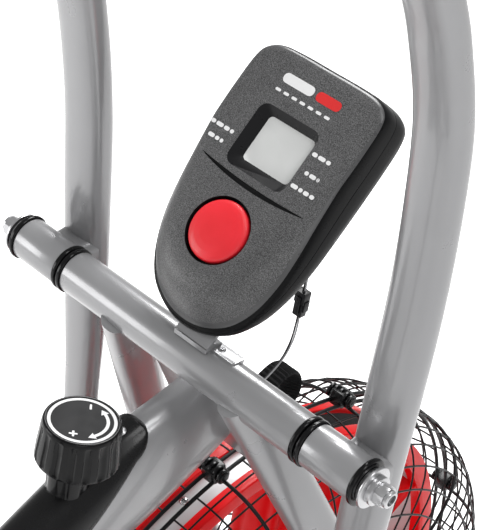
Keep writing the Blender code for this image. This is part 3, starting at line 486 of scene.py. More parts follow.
def cut(obj, *cutters):
    """Takes the cutters out of a piece and removes them."""
    for cutter in cutters:
        mod = obj.modifiers.new("cut", "BOOLEAN")
        mod.operation = "DIFFERENCE"
        mod.object = cutter
    bpy.context.view_layer.update()
    mesh = bpy.data.meshes.new_from_object(obj.evaluated_get(bpy.context.evaluated_depsgraph_get()))
    obj.modifiers.clear()
    obj.data = mesh
    mesh.shade_smooth()
    mesh.set_sharp_from_angle(angle=math.radians(32))
    for cutter in cutters:
        bpy.data.objects.remove(cutter)


YZ = Matrix(((0, 0, 1, 0), (1, 0, 0, 0), (0, 1, 0, 0), (0, 0, 0, 1)))    # outline in y and z, height along x


def yz_frame(x=0.0):
    return Matrix.Translation(ORIGIN + Vector((x, 0, 0))) @ YZ


# ------------------------------------------------------------------ frame

def leg_point(side, drop):
    """Centre line of a fork leg: it spreads, then runs parallel to the cage."""
    reach, spread, ease = 0.243 * drop, 0.060, 0.012
    outwards = 0.5 * (reach + spread - math.sqrt((reach - spread) ** 2 + ease ** 2))
    return rel(side * (0.068 + outwards), -0.005 + LEG_LEAN * drop, -drop)


# Along the main tube: y, z and size
MAIN = [(0.046, -0.071, 0.90), (0.01, -0.0875, 0.97), (-0.04, -0.1076, 1.045), (-0.10, -0.1355, 1.01),
        (-0.17, -0.1755, 0.97), (-0.28, -0.258, 1.0), (-0.39, -0.357, 0.96), (-0.49, -0.480, 0.92),
        (-0.562, -0.62, 0.88), (-0.60, -0.764, 0.85)]
MAIN_X, MAIN_Z, MAIN_POWER = 0.025, 0.050, 2.35      # half sizes of the main tube, and how square it is


def main_path(steps=10):
    points = smooth_path([rel(0, y, z) for y, z, _ in MAIN], steps)
    return points, smooth_sizes([size for _, _, size in MAIN], steps)


def bar_centre(word):
    return Vector((0, ORIGIN.y + BAR_Y[word], BAR_Z))


def cope(tube, bar):
    """Cuts a tube's foot level and hollows it to sit on a round bar along x."""
    bm = bmesh.new()
    bm.from_mesh(tube.data)
    found = bmesh.ops.bisect_plane(bm, geom=bm.verts[:] + bm.edges[:] + bm.faces[:], plane_no=(0, 0, -1),
                                   plane_co=(0, 0, bar.z + 0.7 * BAR_R), clear_outer=True)
    bmesh.ops.contextual_create(bm, geom=[e for e in found["geom_cut"] if isinstance(e, bmesh.types.BMEdge)])
    bm.to_mesh(tube.data)
    bm.free()
    cut(tube, lathe("saddle_cut", rod(BAR_R + 0.0002, 0.3, -0.3), bar, (1, 0, 0), PAINT, edge=0))


def build_frame():
    wall = hollow(0.0168, 0.019, 0.1315, -0.1315)
    tube = lathe("cross_tube_fine", wall, ORIGIN, (1, 0, 0), PAINT, edge=0.0004, closed=True)
    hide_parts("cross_tube")
    drops = [0.0, 0.012, 0.03, 0.06, 0.10, 0.14, 0.18, 0.20, 0.22, 0.24, 0.26, 0.28, 0.30, 0.34, 0.40, 0.5,
             0.6, 0.722, 0.80]
    for side, word in SIDES:
        path = smooth_path([leg_point(side, d) for d in drops], 3)
        leg = sweep(word + "_leg_fine", path, oval(0.0145, 0.021, 2.5, 56), PAINT)
        cope(leg, bar_centre("front"))
        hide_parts(word + "_fork_leg")
    points, sizes = main_path()
    points.append(points[-1] + (points[-1] - points[-2]).normalized() * 0.04)
    main = sweep("main_tube_fine", points, oval(MAIN_X, MAIN_Z, MAIN_POWER, 72), PAINT,
                 sizes=sizes + sizes[-1:])
    cope(main, bar_centre("rear"))
    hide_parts("main_tube")
    build_crown()
    for side, word in SIDES:
        stay = plate(word + "_stay_fine", capsule((-0.20, -0.585), (0.2140, -0.4602), 0.016, 0.016), -0.0075,
                     0.0075, yz_frame(side * 0.121), PAINT, bevel=0.0025)
        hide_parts(word + "_stay")
        out = (side, 0, 0)
        lathe(word + "_axle_washer", hollow(0.0085, 0.0155, 0.0022), beside(side, 0.1287, WHEEL), out, ZINC,
              edge=0.0004, closed=True)
        nut(word + "_axle_nut", beside(side, 0.1311, WHEEL), out, 0.0105, 0.0075, 0.008)
    fine_rods()


def build_crown():
    """Gusset between the legs: a plate with rolled edges and a hole for the lead."""
    tilt = Matrix.Translation(rel(0, 0.047, -0.078)) @ Matrix.Rotation(math.atan(LEG_LEAN), 4, "X")
    face = tilt @ Matrix.Rotation(math.pi / 2, 4, "X")
    crown = plate("fork_crown_fine", round_rect(0.106, 0.104, 0.006), -0.0035, 0.0035, face, PAINT,
                  bevel=0.0015)
    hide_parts("fork_crown")
    lathe("lead_grommet", [(0.0026, 0.004), (0.0060, 0.003), (0.0060, -0.001), (0.0026, -0.001)],
          rel(0.0125, 0.0515, -0.0745), (0, 0.868, 0.497), RUBBER, closed=True, edge=0.0005)


def nut(name, base, direction, radius, height, hole, body="frame"):
    """A hexagon with chamfered corners, a bore and a locking collar."""
    axes = axes_for(direction)
    bm = bmesh.new()

    def ring(h, radius_at):
        return [bm.verts.new(Vector(base) + out * radius_at(t) + axes[2] * h) for t, out in on_circle(axes)]

    def flat(t):
        return radius * math.cos(math.pi / 6) / math.cos((t + math.pi / 6) % (math.pi / 3) - math.pi / 6)

    rings = []
    for h, k in ((0.0, 0.93), (0.10, 1.0), (0.86, 1.0), (1.0, 0.88)):
        rings.append(ring(height * h, lambda t: min(flat(t), radius * k) if k < 1 else flat(t)))
    for h, r in ((height, radius * 0.62), (height * 1.14, radius * 0.56), (height * 1.14, hole),
                 (0.0, hole)):
        rings.append(ring(h, lambda t: r))
    skin(bm, rings + rings[:1])
    return from_bm(name, bm, ZINC, body, angle=28)


def fine_rods():
    """Crank bearing shell with its post, strut and bridge, and the seat tube with its post."""
    shell = lathe("bearing_shell", hollow(0.0101, 0.022, 0.035, -0.035), ORIGIN + CRANK, (1, 0, 0), PAINT,
                  closed=True, edge=0.001)
    runs = [("crank_post_fine", 0.017, CRANK + Vector((0, 0, 0.0195)), CRANK + Vector((0, 0, 0.155))),
            ("bridge_strut_fine", 0.0125, CRANK + Vector((0, 0.014, -0.015)), Vector((0, -0.20, -0.585))),
            ("stay_bridge_fine", 0.0128, Vector((-0.1132, -0.20, -0.585)), Vector((0.1132, -0.20, -0.585)))]
    for name, radius, a, b in runs:
        lathe(name, rod(radius, (b - a).length), ORIGIN + a, b - a, PAINT, edge=0.0008)
    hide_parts("crank_frame")
    tube = lathe("seat_tube_fine", hollow(0.017, 0.0215, 0.235, 0.012), SEAT_FOOT, SEAT_UP, PAINT,
                 closed=True, edge=0.0008)
    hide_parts("seat_tube")
    lathe("seat_tube_sleeve", hollow(0.0169, 0.0232, 0.2365, 0.222), SEAT_FOOT, SEAT_UP, BLACK, closed=True,
          edge=0.001)
    back = Vector((0, -math.cos(SEAT_LEAN), -math.sin(SEAT_LEAN)))
    clamp = SEAT_FOOT + SEAT_UP * 0.200
    lathe("clamp_boss_fine", [(0.0051, 0.030), (0.011, 0.030), (0.0115, 0.0205), (0.0051, 0.0205)], clamp,
          back, PAINT, closed=True, edge=0.0008)

    def fluted(t, r, h):
        return r * (1 - 0.09 * max(0.0, math.cos(7 * t)) ** 0.6) if r > 0.0195 else r

    profile = [(0, 0.0305), (0.013, 0.0300), (0.0205, 0.0255), (0.021, 0.022), (0.021, 0.009),
               (0.0125, 0.0005), (0.0048, 0.0003), (0.0048, -0.0122), (0, -0.0122)]
    knob = lathe("seat_clamp_fine", profile, clamp + back * 0.030, back, BLACK, "clamp_body", steps=98,
                 radius_of=fluted)
    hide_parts("seat_clamp_knob")
    post = lathe("seat_post_fine", rod(0.0165, SEAT_RISE - 0.02), SEAT_FOOT + SEAT_UP * 0.02, SEAT_UP, ZINC,
                 "seat_body", edge=0.001)
    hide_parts("seat_post")
    for i in range(5):
        lathe("post_mark_%d" % i, [(0.0166, 0.0006), (0.0168, 0.0), (0.0166, -0.0006)],
              SEAT_FOOT + SEAT_UP * (0.252 + 0.017 * i), SEAT_UP, DARK_STEEL, "seat_body", edge=0)


def build_stabilizers():
    ribbed = [(0, 0.003), (0.010, 0.0042), (0.024, 0.003), (0.028, -0.002)]
    for rib_end in (-0.012, -0.030):
        ribbed += [(0.028, rib_end), (0.0272, rib_end - 0.002), (0.0272, rib_end - 0.006),
                   (0.028, rib_end - 0.008)]
    ribbed += [(0.028, -0.044), (0.0255, -0.045)]
    for word in ("front", "rear"):
        centre = bar_centre(word)
        bar = lathe(word + "_bar_fine", rod(BAR_R, BAR_HALF, -BAR_HALF), centre, (1, 0, 0), PAINT,
                    edge=0.0015)
        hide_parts(word + "_stabilizer")
        for side, hand in SIDES:
            bm = bmesh.new()
            turned(bm, rounded(ribbed, 0.0008), centre + Vector((side * BAR_HALF, 0, 0)), (side, 0, 0))
            for v in bm.verts:
                v.co.z = max(v.co.z, 0.0)
            cap = from_bm("%s_%s_cap" % (word, hand), bm, RUBBER, angle=40)
            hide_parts("%s_%s_foot" % (word, hand))


# ------------------------------------------------------------------ arms

ARM = [(0.064, -0.405), (0.0625, -0.30), (0.0585, -0.18), (0.0535, -0.08), (0.0430, 0.05), (0.0355, 0.134),
       (0.0215, 0.217), (0.0010, 0.295), (-0.0320, 0.362), (-0.0575, 0.402), (-0.0790, 0.432)]
ARM_SIZES = (0.80, 0.80, 0.80, 0.94, 1, 1, 1, 1, 1, 1, 1)
HANDLE = [(-0.045, 0.385), (-0.062, 0.412), (-0.095, 0.444), (-0.140, 0.470), (-0.205, 0.492)]
ARM_X = 0.171
COLLAR_IN, COLLAR_OUT = 0.1427, 0.1915


def arm_pivot(side):
    """The arms' own frame: the arm pivot, swung as the arms stand at rest."""
    return Matrix.Translation(ORIGIN) @ Matrix.Rotation(-side * SWING, 4, "X")


def build_arms():
    for side, word in SIDES:
        pivot = arm_pivot(side)
        body = word + "_arm_body"
        out = (side, 0, 0)
        path = smooth_path([pivot @ Vector((side * ARM_X, y, z)) for y, z in ARM], 10)
        arm = sweep(word + "_arm_fine", path, oval(0.023, 0.015, 2.35, 64), PAINT, body, "silver_arm",
                    sizes=smooth_sizes(ARM_SIZES, 10), cap_round=0.004)
        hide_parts(word + "_arm")
        lathe(word + "_collar_fine", hollow(0.0168, 0.019, COLLAR_OUT, COLLAR_IN), ORIGIN, out, PAINT, body,
              edge=0.0004, closed=True)
        build_lug(side, word, body, pivot)
        boss = [(0, 0.0170), (0.010, 0.017), (0.010, 0.0002), (0, 0.0002)]
        lathe(word + "_link_boss", boss, pivot @ Vector((side * 0.1508, *ARM_FOOT)), out, PAINT, body)
        handle = [pivot @ Vector((side * ARM_X, y, z)) for y, z in HANDLE]
        sweep(word + "_handle_fine", smooth_path(handle, 10), oval(0.0125, 0.0125, 2, 40), PAINT, body,
              "silver_arm")
        sleeve = smooth_path(handle[2:], 12)
        sizes = []
        for i in range(len(sleeve)):
            t = i / (len(sleeve) - 1)
            sizes.append(min(1.0, 0.80 + 6 * t, 0.84 + 5 * (1 - t)) * (1 + 0.02 * math.sin(t * 150)))
        grip = sweep(word + "_grip_fine", sleeve, oval(0.0175, 0.0175), FOAM, body, sizes=sizes,
                     cap_round=0.003)
        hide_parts(word + "_grip")
        build_pivot(side, word, body)


def build_lug(side, word, body, pivot):
    """The saddle between collar and arm: it flares from the collar's round to the arm's flat back."""
    bm = bmesh.new()
    rows = []
    for f in (k / 8 for k in range(9)):
        outline = oval(0.0215 - 0.0020 * math.sin(f * math.pi), 0.0105 + 0.0060 * f ** 2, 3.2, 40)
        rows.append([bm.verts.new(pivot @ Vector((side * 0.1705 + x, 0.010 + 0.032 * f,
                                                  z - 0.0075 - 0.004 * f))) for x, z in outline])
    skin(bm, rows, ends=True)
    from_bm(word + "_arm_lug", bm, PAINT, body, angle=50)


def flanged_ring(name, at, direction, body, node):
    """A black bushing: a rounded flange and its sleeve."""
    profile = [(0.0063, 0.0050), (0.0170, 0.0050), (0.0196, 0.0047), (0.0205, 0.0038), (0.0205, 0.0012),
               (0.0198, 0.0002), (0.0165, 0.0), (0.0165, -0.012), (0.0063, -0.012)]
    ring = lathe(name, profile, at, direction, GLOSS, body, closed=True, edge=0.0005)
    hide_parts(node)


def build_pivot(side, word, body):
    """Bushings, washers and nut on the axle, from the frame outwards."""
    out, into = (side, 0, 0), (-side, 0, 0)
    flanged_ring(word + "_frame_ring", rel(side * 0.1318, 0, 0), out, "frame", word + "_frame_bushing")
    flanged_ring(word + "_inner_ring", rel(side * (COLLAR_IN - 0.0003), 0, 0), into, body,
                 word + "_arm_bushing_inner")
    flanged_ring(word + "_outer_ring", rel(side * (COLLAR_OUT + 0.0003), 0, 0), out, body,
                 word + "_arm_bushing_outer")
    disc = [(0.0062, 0.0062), (0.0174, 0.0062), (0.0180, 0.0057), (0.0180, 0.0038), (0.0150, 0.0034),
            (0.0150, 0), (0.0062, 0)]
    washer = lathe(word + "_washer_fine", disc, rel(side * 0.1971, 0, 0), out, ZINC, closed=True,
                   edge=0.0004)
    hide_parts(word + "_pivot_washer")
    lathe(word + "_spring_washer", hollow(0.0056, 0.0124, 0.0050), rel(side * 0.2033, 0, 0), out, ZINC,
          closed=True, edge=0.0005)
    hexagon = nut(word + "_nut_fine", rel(side * 0.2084, 0, 0), out, 0.0098, 0.0085, 0.0049)
    tip = [(0.0048, 0.0034), (0.0066, 0.0034), (0.0074, 0.0026), (0.0076, 0), (0.0048, 0)]
    lathe(word + "_nut_tip", tip, rel(side * 0.2169, 0, 0), out, ZINC, closed=True, edge=0.0004, steps=40)
    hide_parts(word + "_pivot_nut")


def build_axles():
    thread = [(0.0048 if i % 2 else 0.0044, 0.2182 - 0.00045 * i) for i in range(40)]
    half = [(0, 0.2186), (0.0038, 0.2186)] + thread + [(0.006, 0.199)]
    axle = lathe("pivot_axle_fine", half + [(r, -h) for r, h in half[::-1]], ORIGIN, (1, 0, 0), ZINC, edge=0)
    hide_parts("pivot_axle")
    for side, word in SIDES:
        lathe(word + "_axle_socket", [(0.0048, 0.2188), (0.0030, 0.2189), (0, 0.2189)], ORIGIN, (side, 0, 0),
              DARK_STEEL, edge=0, steps=24)
    stub = [(0, 0.136), (0.0075, 0.136), (0.008, 0.1352), (0.008, -0.1352), (0.0075, -0.136), (0, -0.136)]
    fan = lathe("fan_axle_fine", stub, ORIGIN + WHEEL, (1, 0, 0), ZINC, edge=0.0004)
    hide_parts("fan_axle")
    spindle = lathe("crank_spindle_fine", rod(0.0095, 0.1312, -0.1312), ORIGIN + CRANK, (1, 0, 0), ZINC,
                    "crank_body")
    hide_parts("crank_spindle")


# ------------------------------------------------------------------ wheel and cage

# Across one side of the cage, from the rim to the hub: radius and distance from the middle
CAGE = [(0.3245, 0.006), (0.3235, 0.024), (0.3175, 0.044), (0.3065, 0.060), (0.2905, 0.073), (0.269, 0.0810),
        (0.243, 0.0845), (0.216, 0.0858), (0.188, 0.0862), (0.160, 0.0865), (0.132, 0.0866), (0.104, 0.0866),
        (0.076, 0.0866), (0.045, 0.0866)]
FIRST_STRUT = -17                            # degrees from the top, forwards
CLIPS = (FIRST_STRUT, 13, 73)


def cage_point(side, radius, x, degrees):
    return ORIGIN + WHEEL + Vector((side * x, 0, 0)) + on_wheel(degrees)[0] * radius


def build_cage():
    for side, word in SIDES:
        rings = [[cage_point(side, r, x, 360 * i / 120) for i in range(120)] for r, x in CAGE[1:]]
        thin = wires(word + "_cage_rings", rings, 0.00105, WIRE, cyclic=True, resolution=1)
        rim = [cage_point(side, *CAGE[0], 360 * i / 160) for i in range(160)]
        wires(word + "_cage_rim", [rim], 0.0020, WIRE, cyclic=True)
        fine = smooth_path([Vector((r, x, 0)) for r, x in CAGE], 2)
        spokes, struts = [], []
        for i in range(72):
            run = [cage_point(side, p.x, p.y, FIRST_STRUT + 5 * i) for p in fine]
            if i % 6 == 0:
                struts.append(run)
            else:
                spokes.append(run if i % 2 == 0 else run[:-8])
        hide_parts(word + "_cage")
        wires(word + "_cage_spokes", spokes, 0.00100, WIRE, resolution=1)
        wires(word + "_cage_struts", struts, 0.0018, WIRE)
        hub = [(0.010, 0.0880), (0.044, 0.0880), (0.046, 0.0866), (0.044, 0.0850), (0.010, 0.0850)]
        lathe(word + "_cage_hub", hub, ORIGIN + WHEEL, (side, 0, 0), BLACK, closed=True)
        arms = [[cage_point(side, r, x, 45 + 90 * i)
                 for r, x in ((0.040, 0.0866), (0.020, 0.100), (0.0105, 0.1120))] for i in range(4)]
        wires(word + "_cage_bracket", arms, 0.0022, WIRE)
    for number, degrees in enumerate(CLIPS, 1):
        clip = build_clip(number, degrees)
        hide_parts("cage_clip_%d" % number)


def build_clip(number, degrees):
    """Ribbed moulded clip that snaps over both rims."""
    out, along = on_wheel(degrees)
    m = Matrix((Vector((1, 0, 0)), along, out)).transposed().to_4x4()
    m.translation = ORIGIN + WHEEL + out * 0.3320
    bm = bmesh.new()
    slab(bm, round_rect(0.0165, 0.0175, 0.003), -0.0095, 0.0040, m, bevel=0.001)
    for x in (-0.0115, -0.0065, 0.0, 0.0065, 0.0115):
        size = 0.0092 if abs(x) > 0.01 else 0.0104
        section = m @ Matrix.Translation((x, 0, -0.0015)) @ Matrix.Rotation(math.pi / 2, 4, "Y")
        ring = rounded([(0, 0.0014), (size * 0.78, 0.0014), (size * 0.80, -0.0014), (0, -0.0014)], 0.0005)
        turned(bm, ring, section.translation, section.to_3x3() @ Vector((0, 0, 1)), 24)
    head = [(0, 0.0012), (0.0048, 0.0010), (0.0052, 0), (0.0052, -0.002), (0, -0.002)]
    for side, _ in SIDES:
        turned(bm, rounded(head, 0.0004), m @ Vector((side * 0.0135, 0, -0.0015)), (side, 0, 0), 20)
    return from_bm("clip_%d_fine" % number, bm, BLACK_SATIN, angle=40)


def build_wheel():
    centre = ORIGIN + WHEEL + RIM_X
    body = "fan_body"
    flange = [(0.288, 0.0145), (0.2925, 0.0147), (WHEEL_R, 0.0155), (WHEEL_R, 0.0272), (0.2920, 0.0285),
              (0.2780, 0.0285), (0.2745, 0.0272), (0.2740, 0.0260), (0.2740, 0.0145)]
    for side, word in SIDES:
        rim = lathe(word + "_wheel_flange", flange, centre, (side, 0, 0), RED, body, steps=144, closed=True,
                    edge=0.0004)
        if side > 0:
            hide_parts("fan_wheel")
    lathe("wheel_band", hollow(0.274, BAND_R, 0.0147, -0.0147), centre, (1, 0, 0), BAND_GREY, body,
          steps=144, closed=True, edge=0.0003)
    for i in range(24):
        out, _ = on_wheel(9 + 15 * i)
        at = centre + out * BAND_R + Vector((0.0070 if i % 2 else -0.0070, 0, 0))
        screw("band_screw_%d" % i, at, out, 0.0042, body)
    build_blades(centre, body)


def screw(name, at, out, radius, body="frame"):
    """A pan-head screw with a cross recess."""
    bm = bmesh.new()
    head = [(0, radius * 0.42), (radius * 0.5, radius * 0.38), (radius * 0.88, radius * 0.2), (radius, 0.0)]
    turned(bm, head, at, out, 28)
    u, v, w = axes_for(out)
    for a, b in ((u, v), (v, u)):
        m = Matrix((a, b, w)).transposed().to_4x4()
        m.translation = Vector(at)
        slab(bm, round_rect(radius * 1.15, radius * 0.26, radius * 0.1, 2), radius * 0.36, radius * 0.43, m,
             mat=1)
    return from_bm(name, bm, [ZINC, DARK_STEEL], body, angle=40)


def build_blades(centre, body):
    """Pressed blades: each a thin sheet with a turned edge and two stiffening ribs."""
    low, high = 0.032, 0.2765
    for i in range(12):
        out, along = on_wheel(-30 * i)
        bm = bmesh.new()
        rows = []
        for f in (k / 24 for k in range(25)):
            half = 0.0255 + 0.002 * math.sin(f * math.pi)
            row = []
            for g in (j / 16 * 2 - 1 for j in range(17)):
                rib = 0.0016 * math.exp(-((abs(g) - 0.5) / 0.13) ** 2) * min(1, 6 * f, 6 * (1 - f))
                lip = 0.0028 * max(0.0, abs(g) - 0.86) / 0.14
                at = centre + out * (low + f * (high - low)) + Vector((g * half, 0, 0))
                row.append(bm.verts.new(at + along * (rib + lip)))
            rows.append(row)
        skin(bm, rows, closed=False)
        blade = from_bm("blade_%02d" % i, bm, RED_BLADE, body, outwards=False)
        mod = blade.modifiers.new("sheet", "SOLIDIFY")
        mod.thickness = 0.0018
        mod.offset = 0
    half = [(0.0086, 0.046), (0.020, 0.046), (0.030, 0.040), (0.034, 0.034)]
    lathe("fan_hub_fine", half + [(r, -h) for r, h in half[::-1]], centre - RIM_X, (1, 0, 0), BLACK_SATIN,
          body, closed=True, edge=0.001)


def build_brake():
    """Friction strap lying in the wheel's channel, and its folded end at the crown."""
    bm = bmesh.new()
    rows = []
    for i in range(77):
        out, _ = on_wheel(i - 5)
        ripple = 0.00012 * math.sin(i * 2.4)
        half = [(0.0123, 0.0005), (0.0125, 0.0013), (0.0117, 0.0023 + ripple), (0.004, 0.0026 + ripple)]
        rows.append([bm.verts.new(ORIGIN + WHEEL + RIM_X + out * (BAND_R + lift) + Vector((x, 0, 0)))
                     for x, lift in [(-x, lift) for x, lift in half] + half[::-1]])
    skin(bm, rows)
    bm.faces.new(rows[0])
    bm.faces.new(rows[-1][::-1])
    band = from_bm("brake_band_fine", bm, BAND_STRAP)
    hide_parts("brake_band")
    turns = [(0.078, -0.122), (0.096, -0.100), (0.116, -0.084), (0.134, -0.0765), (0.1465, -0.080),
             (0.1540, -0.091), (0.1550, -0.104), (0.1500, -0.117), (0.1455, -0.128)]
    fold = smooth_path([rel(0, y, z) for y, z in turns], 16)
    last = len(fold) - 1
    bm = bmesh.new()
    rows = []
    for i, p in enumerate(fold):
        t = (fold[min(i + 1, last)] - fold[max(i - 1, 0)]).normalized()
        twist = math.radians(30) * (i / last) ** 2
        across = Vector((math.cos(twist), -math.sin(twist) * t.y, -math.sin(twist) * t.z)).normalized()
        normal = across.cross(t).normalized()
        row = []
        for sense in (1, -1):
            for g in (sense * (j / 40 * 2 - 1) for j in range(41)):
                rib = 0.0007 * math.cos(i * math.pi / 2) * (1 if abs(g) < 0.9 else 0.2)
                thick = 0.0013 * (1 - g ** 8) + 0.0001 + rib
                row.append(bm.verts.new(p + across * (g * 0.0115) + normal * (sense * thick)))
        rows.append(row)
    skin(bm, rows, ends=True)
    strap = from_bm("strap_fold_fine", bm, WEBBING, angle=50)
    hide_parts("brake_strap_end")


# ------------------------------------------------------------------ drive

def crank_pin(side):
    return CRANK + Vector((0, math.cos(CRANK_TURN), math.sin(CRANK_TURN))) * (side * CRANK_R)


def build_drive():
    for side, word in SIDES:
        pin = crank_pin(side)
        centre, end = Vector(CRANK.yz), Vector(pin.yz)
        run = (end - centre).normalized()
        crank = plate(word + "_crank_fine", capsule(centre, end, 0.017, 0.013), -0.006, 0.006,
                      yz_frame(side * 0.1375), ZINC, "crank_body", bevel=0.0022)
        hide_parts(word + "_crank")
        groove = capsule(centre + run * 0.028, end - run * 0.022, 0.0062, 0.0045, 8)
        plate(word + "_crank_panel", groove, -0.0004, 0.0004, yz_frame(side * 0.1437), DARK_STEEL,
              "crank_body", bevel=0.0003)
        nut(word + "_crank_bolt", beside(side, 0.1435, CRANK), (side, 0, 0), 0.0095, 0.0055, 0.004,
            "crank_body")
        lathe(word + "_pedal_pin_fine", rod(0.006, 0.271, 0.140), beside(side, 0, pin), (side, 0, 0), ZINC,
              "crank_body")
        build_pedal(side, word, pin)
        build_link(side, word, pin)
    build_case()


def build_pedal(side, word, pin):
    """Pedal block with its treads, end cap and a studded strap over the foot."""
    body = word + "_pedal_body"
    centre = beside(side, 0.234, pin)
    m = Matrix.Translation(centre)
    pedal = plate(word + "_pedal_fine", round_rect(0.086, 0.098, 0.010), -0.0115, 0.0115, m, RUBBER, body,
                  bevel=0.003)
    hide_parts(word + "_pedal")
    bm = bmesh.new()
    for x in range(-3, 4):
        for y in range(-4, 5):
            if (x + y) % 2 == 0:
                at = m @ Matrix.Translation((x * 0.0108, y * 0.0103, 0))
                slab(bm, round_rect(0.0085, 0.0075, 0.0015, 2), 0.0112, 0.0128, at, bevel=0.0004)
    from_bm(word + "_pedal_tread", bm, RUBBER, body)
    lathe(word + "_pedal_cap", [(0, 0.0435), (0.008, 0.0433), (0.0095, 0.0425), (0.0095, 0.040)], centre,
          (side, 0, 0), BLACK, body)

    def over_foot(t):
        return centre + Vector((0.0375 * math.cos(t), 0.012, 0.010 + 0.0565 * math.sin(t) ** 0.85))

    path = [over_foot(math.pi * i / 40) for i in range(41)]
    sweep(word + "_strap_fine", path, round_rect(0.028, 0.0026, 0.0011, 2), RUBBER, body, side=(0, 1, 0))
    bm = bmesh.new()
    for i in range(5):
        t = math.pi * (0.55 + 0.055 * i)
        stud = rounded([(0, 0.0017), (0.0028, 0.0016), (0.0031, 0.0010)], 0.0002)
        turned(bm, stud, over_foot(t), Vector((math.cos(t) * 0.7, 0, math.sin(t))), 16)
    from_bm(word + "_strap_studs", bm, BLACK, body)


def build_link(side, word, pin):
    turn, (y, z) = -side * SWING, ARM_FOOT
    foot = (y * math.cos(turn) - z * math.sin(turn), y * math.sin(turn) + z * math.cos(turn))
    link = plate(word + "_link_fine", capsule((pin.y, pin.z), foot, 0.014, 0.014), -0.0025, 0.0025,
                 yz_frame(side * 0.148), PAINT, word + "_link_body", bevel=0.0009)
    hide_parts(word + "_link")
    lathe(word + "_link_pin_ring", hollow(0.0064, 0.0110, 0.0014), beside(side, 0.1505, pin), (side, 0, 0),
          ZINC, word + "_link_body", closed=True, edge=0.0003)


def build_case():
    """Drive case: a moulded cover with a shallow panel raised on it, rings round the crank and axle, and
    screws round its edge.
    """
    crank, axle = CRANK.yz, WHEEL.yz
    case = plate("drive_case_fine", capsule(crank, axle, 0.085, 0.045, 40), -0.0100, 0.0088,
                 yz_frame(0.1012), BLACK_SATIN, bevel=0.004, angle=30)
    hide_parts("drive_case")
    plate("drive_case_panel", capsule(crank, axle, 0.070, 0.031, 40), 0.0, 0.0016, yz_frame(0.1101), BLACK,
          bevel=0.0012, angle=30)
    for name, place, r in (("crank", CRANK, 0.026), ("axle", WHEEL, 0.020)):
        lathe("case_ring_" + name, [(0.011, 0.0014), (r, 0.0012), (r, 0.0), (0.011, 0.0)],
              beside(1, 0.1103, place), (1, 0, 0), BLACK_SATIN, closed=True, edge=0.0005)
    spots = [(-0.352, -0.49), (-0.285, -0.412), (-0.262, -0.567), (-0.06, -0.424), (-0.05, -0.537),
             (0.203, -0.472)]
    for i, spot in enumerate(spots):
        screw("case_screw_%d" % i, rel(0.1100, *spot), Vector((1, 0, 0)), 0.0038)


# ------------------------------------------------------------------ tension control

def build_tension():
    """Cover saddled on the main tube, with the knob's neck and a screw."""
    points, sizes = main_path(24)
    tip = next(i for i, p in enumerate(points) if p.y - ORIGIN.y < -0.021)
    line = list(zip(points, sizes))[tip:]
    run = [0.0]
    for (a, _), (b, _) in zip(line, line[1:]):
        run.append(run[-1] + (b - a).length)
    bm = bmesh.new()
    rows = [cover_row(bm, line, run, 0.0004 + 0.186 * (i / 63) ** 1.7) for i in range(64)]
    skin(bm, rows, ends=True)
    cover = from_bm("tension_cover_fine", bm, BLACK_SATIN, angle=50)
    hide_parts("tension_cover")
    neck = [(0, -0.0605), (0.0178, -0.0605), (0.0184, -0.066), (0.0178, -0.084), (0.0180, -0.094),
            (0.0200, -0.104)]

    def six_flats(t, r, h):
        return r * (1 - 0.05 * max(0.0, math.cos(6 * t)) ** 2)

    lathe("tension_neck", neck, rel(-0.002, -0.112, 0), (0, 0, 1), GLOSS, steps=96, radius_of=six_flats,
          edge=0.0008)
    out = Vector((0, -0.44, 0.90))
    lathe("cover_screw_seat", [(0.0052, 0.0005), (0.0060, 0.0010), (0.0066, 0.0), (0.0066, -0.003)],
          rel(0.0, -0.0612, -0.0556), out, BLACK_SATIN, edge=0.0002)
    screw("cover_screw", rel(0.0, -0.0614, -0.0548), out, 0.0050)
    build_knob()


def cover_row(bm, line, run, d):
    """A row across the cover, at a distance from its tip: the outside, then the side on the tube."""
    k = next(n for n, v in enumerate(run) if v > d)
    (p0, s0), (p1, s1) = line[k - 1], line[k]
    f = (d - run[k - 1]) / (run[k] - run[k - 1])
    p, s = p0.lerp(p1, f), s0 + (s1 - s0) * f
    t = (p1 - p0).normalized()
    up = Vector((0, -t.z, t.y))
    if up.z < 0:
        up = -up
    if d < 0.024:
        reach = math.radians(44) * math.sqrt(1 - (1 - d / 0.024) ** 2)
    else:
        reach = math.radians(44 + 32 * math.sin(min(1.0, (d - 0.024) / 0.150) * math.pi * 0.85))
    thick = 0.0052 * min(1.0, d / 0.004) ** 0.5
    outer, inner = [], []
    for g in (j / 48 * 2 - 1 for j in range(49)):
        sx, sz = math.sin(g * reach), math.cos(g * reach)
        x, z = (math.copysign(abs(v) ** (2 / MAIN_POWER), v) for v in (sx, sz))
        base = p + Vector((MAIN_X * s * x, 0, 0)) + up * (MAIN_Z * s * z)
        n = (Vector((sx / MAIN_X, 0, 0)) + up * (sz / MAIN_Z)).normalized()
        outer.append(bm.verts.new(base + n * (0.0006 + thick * (1 - abs(g) ** 10) ** 0.5)))
        inner.append(bm.verts.new(base + n * 0.0003))
    return outer + inner[::-1]


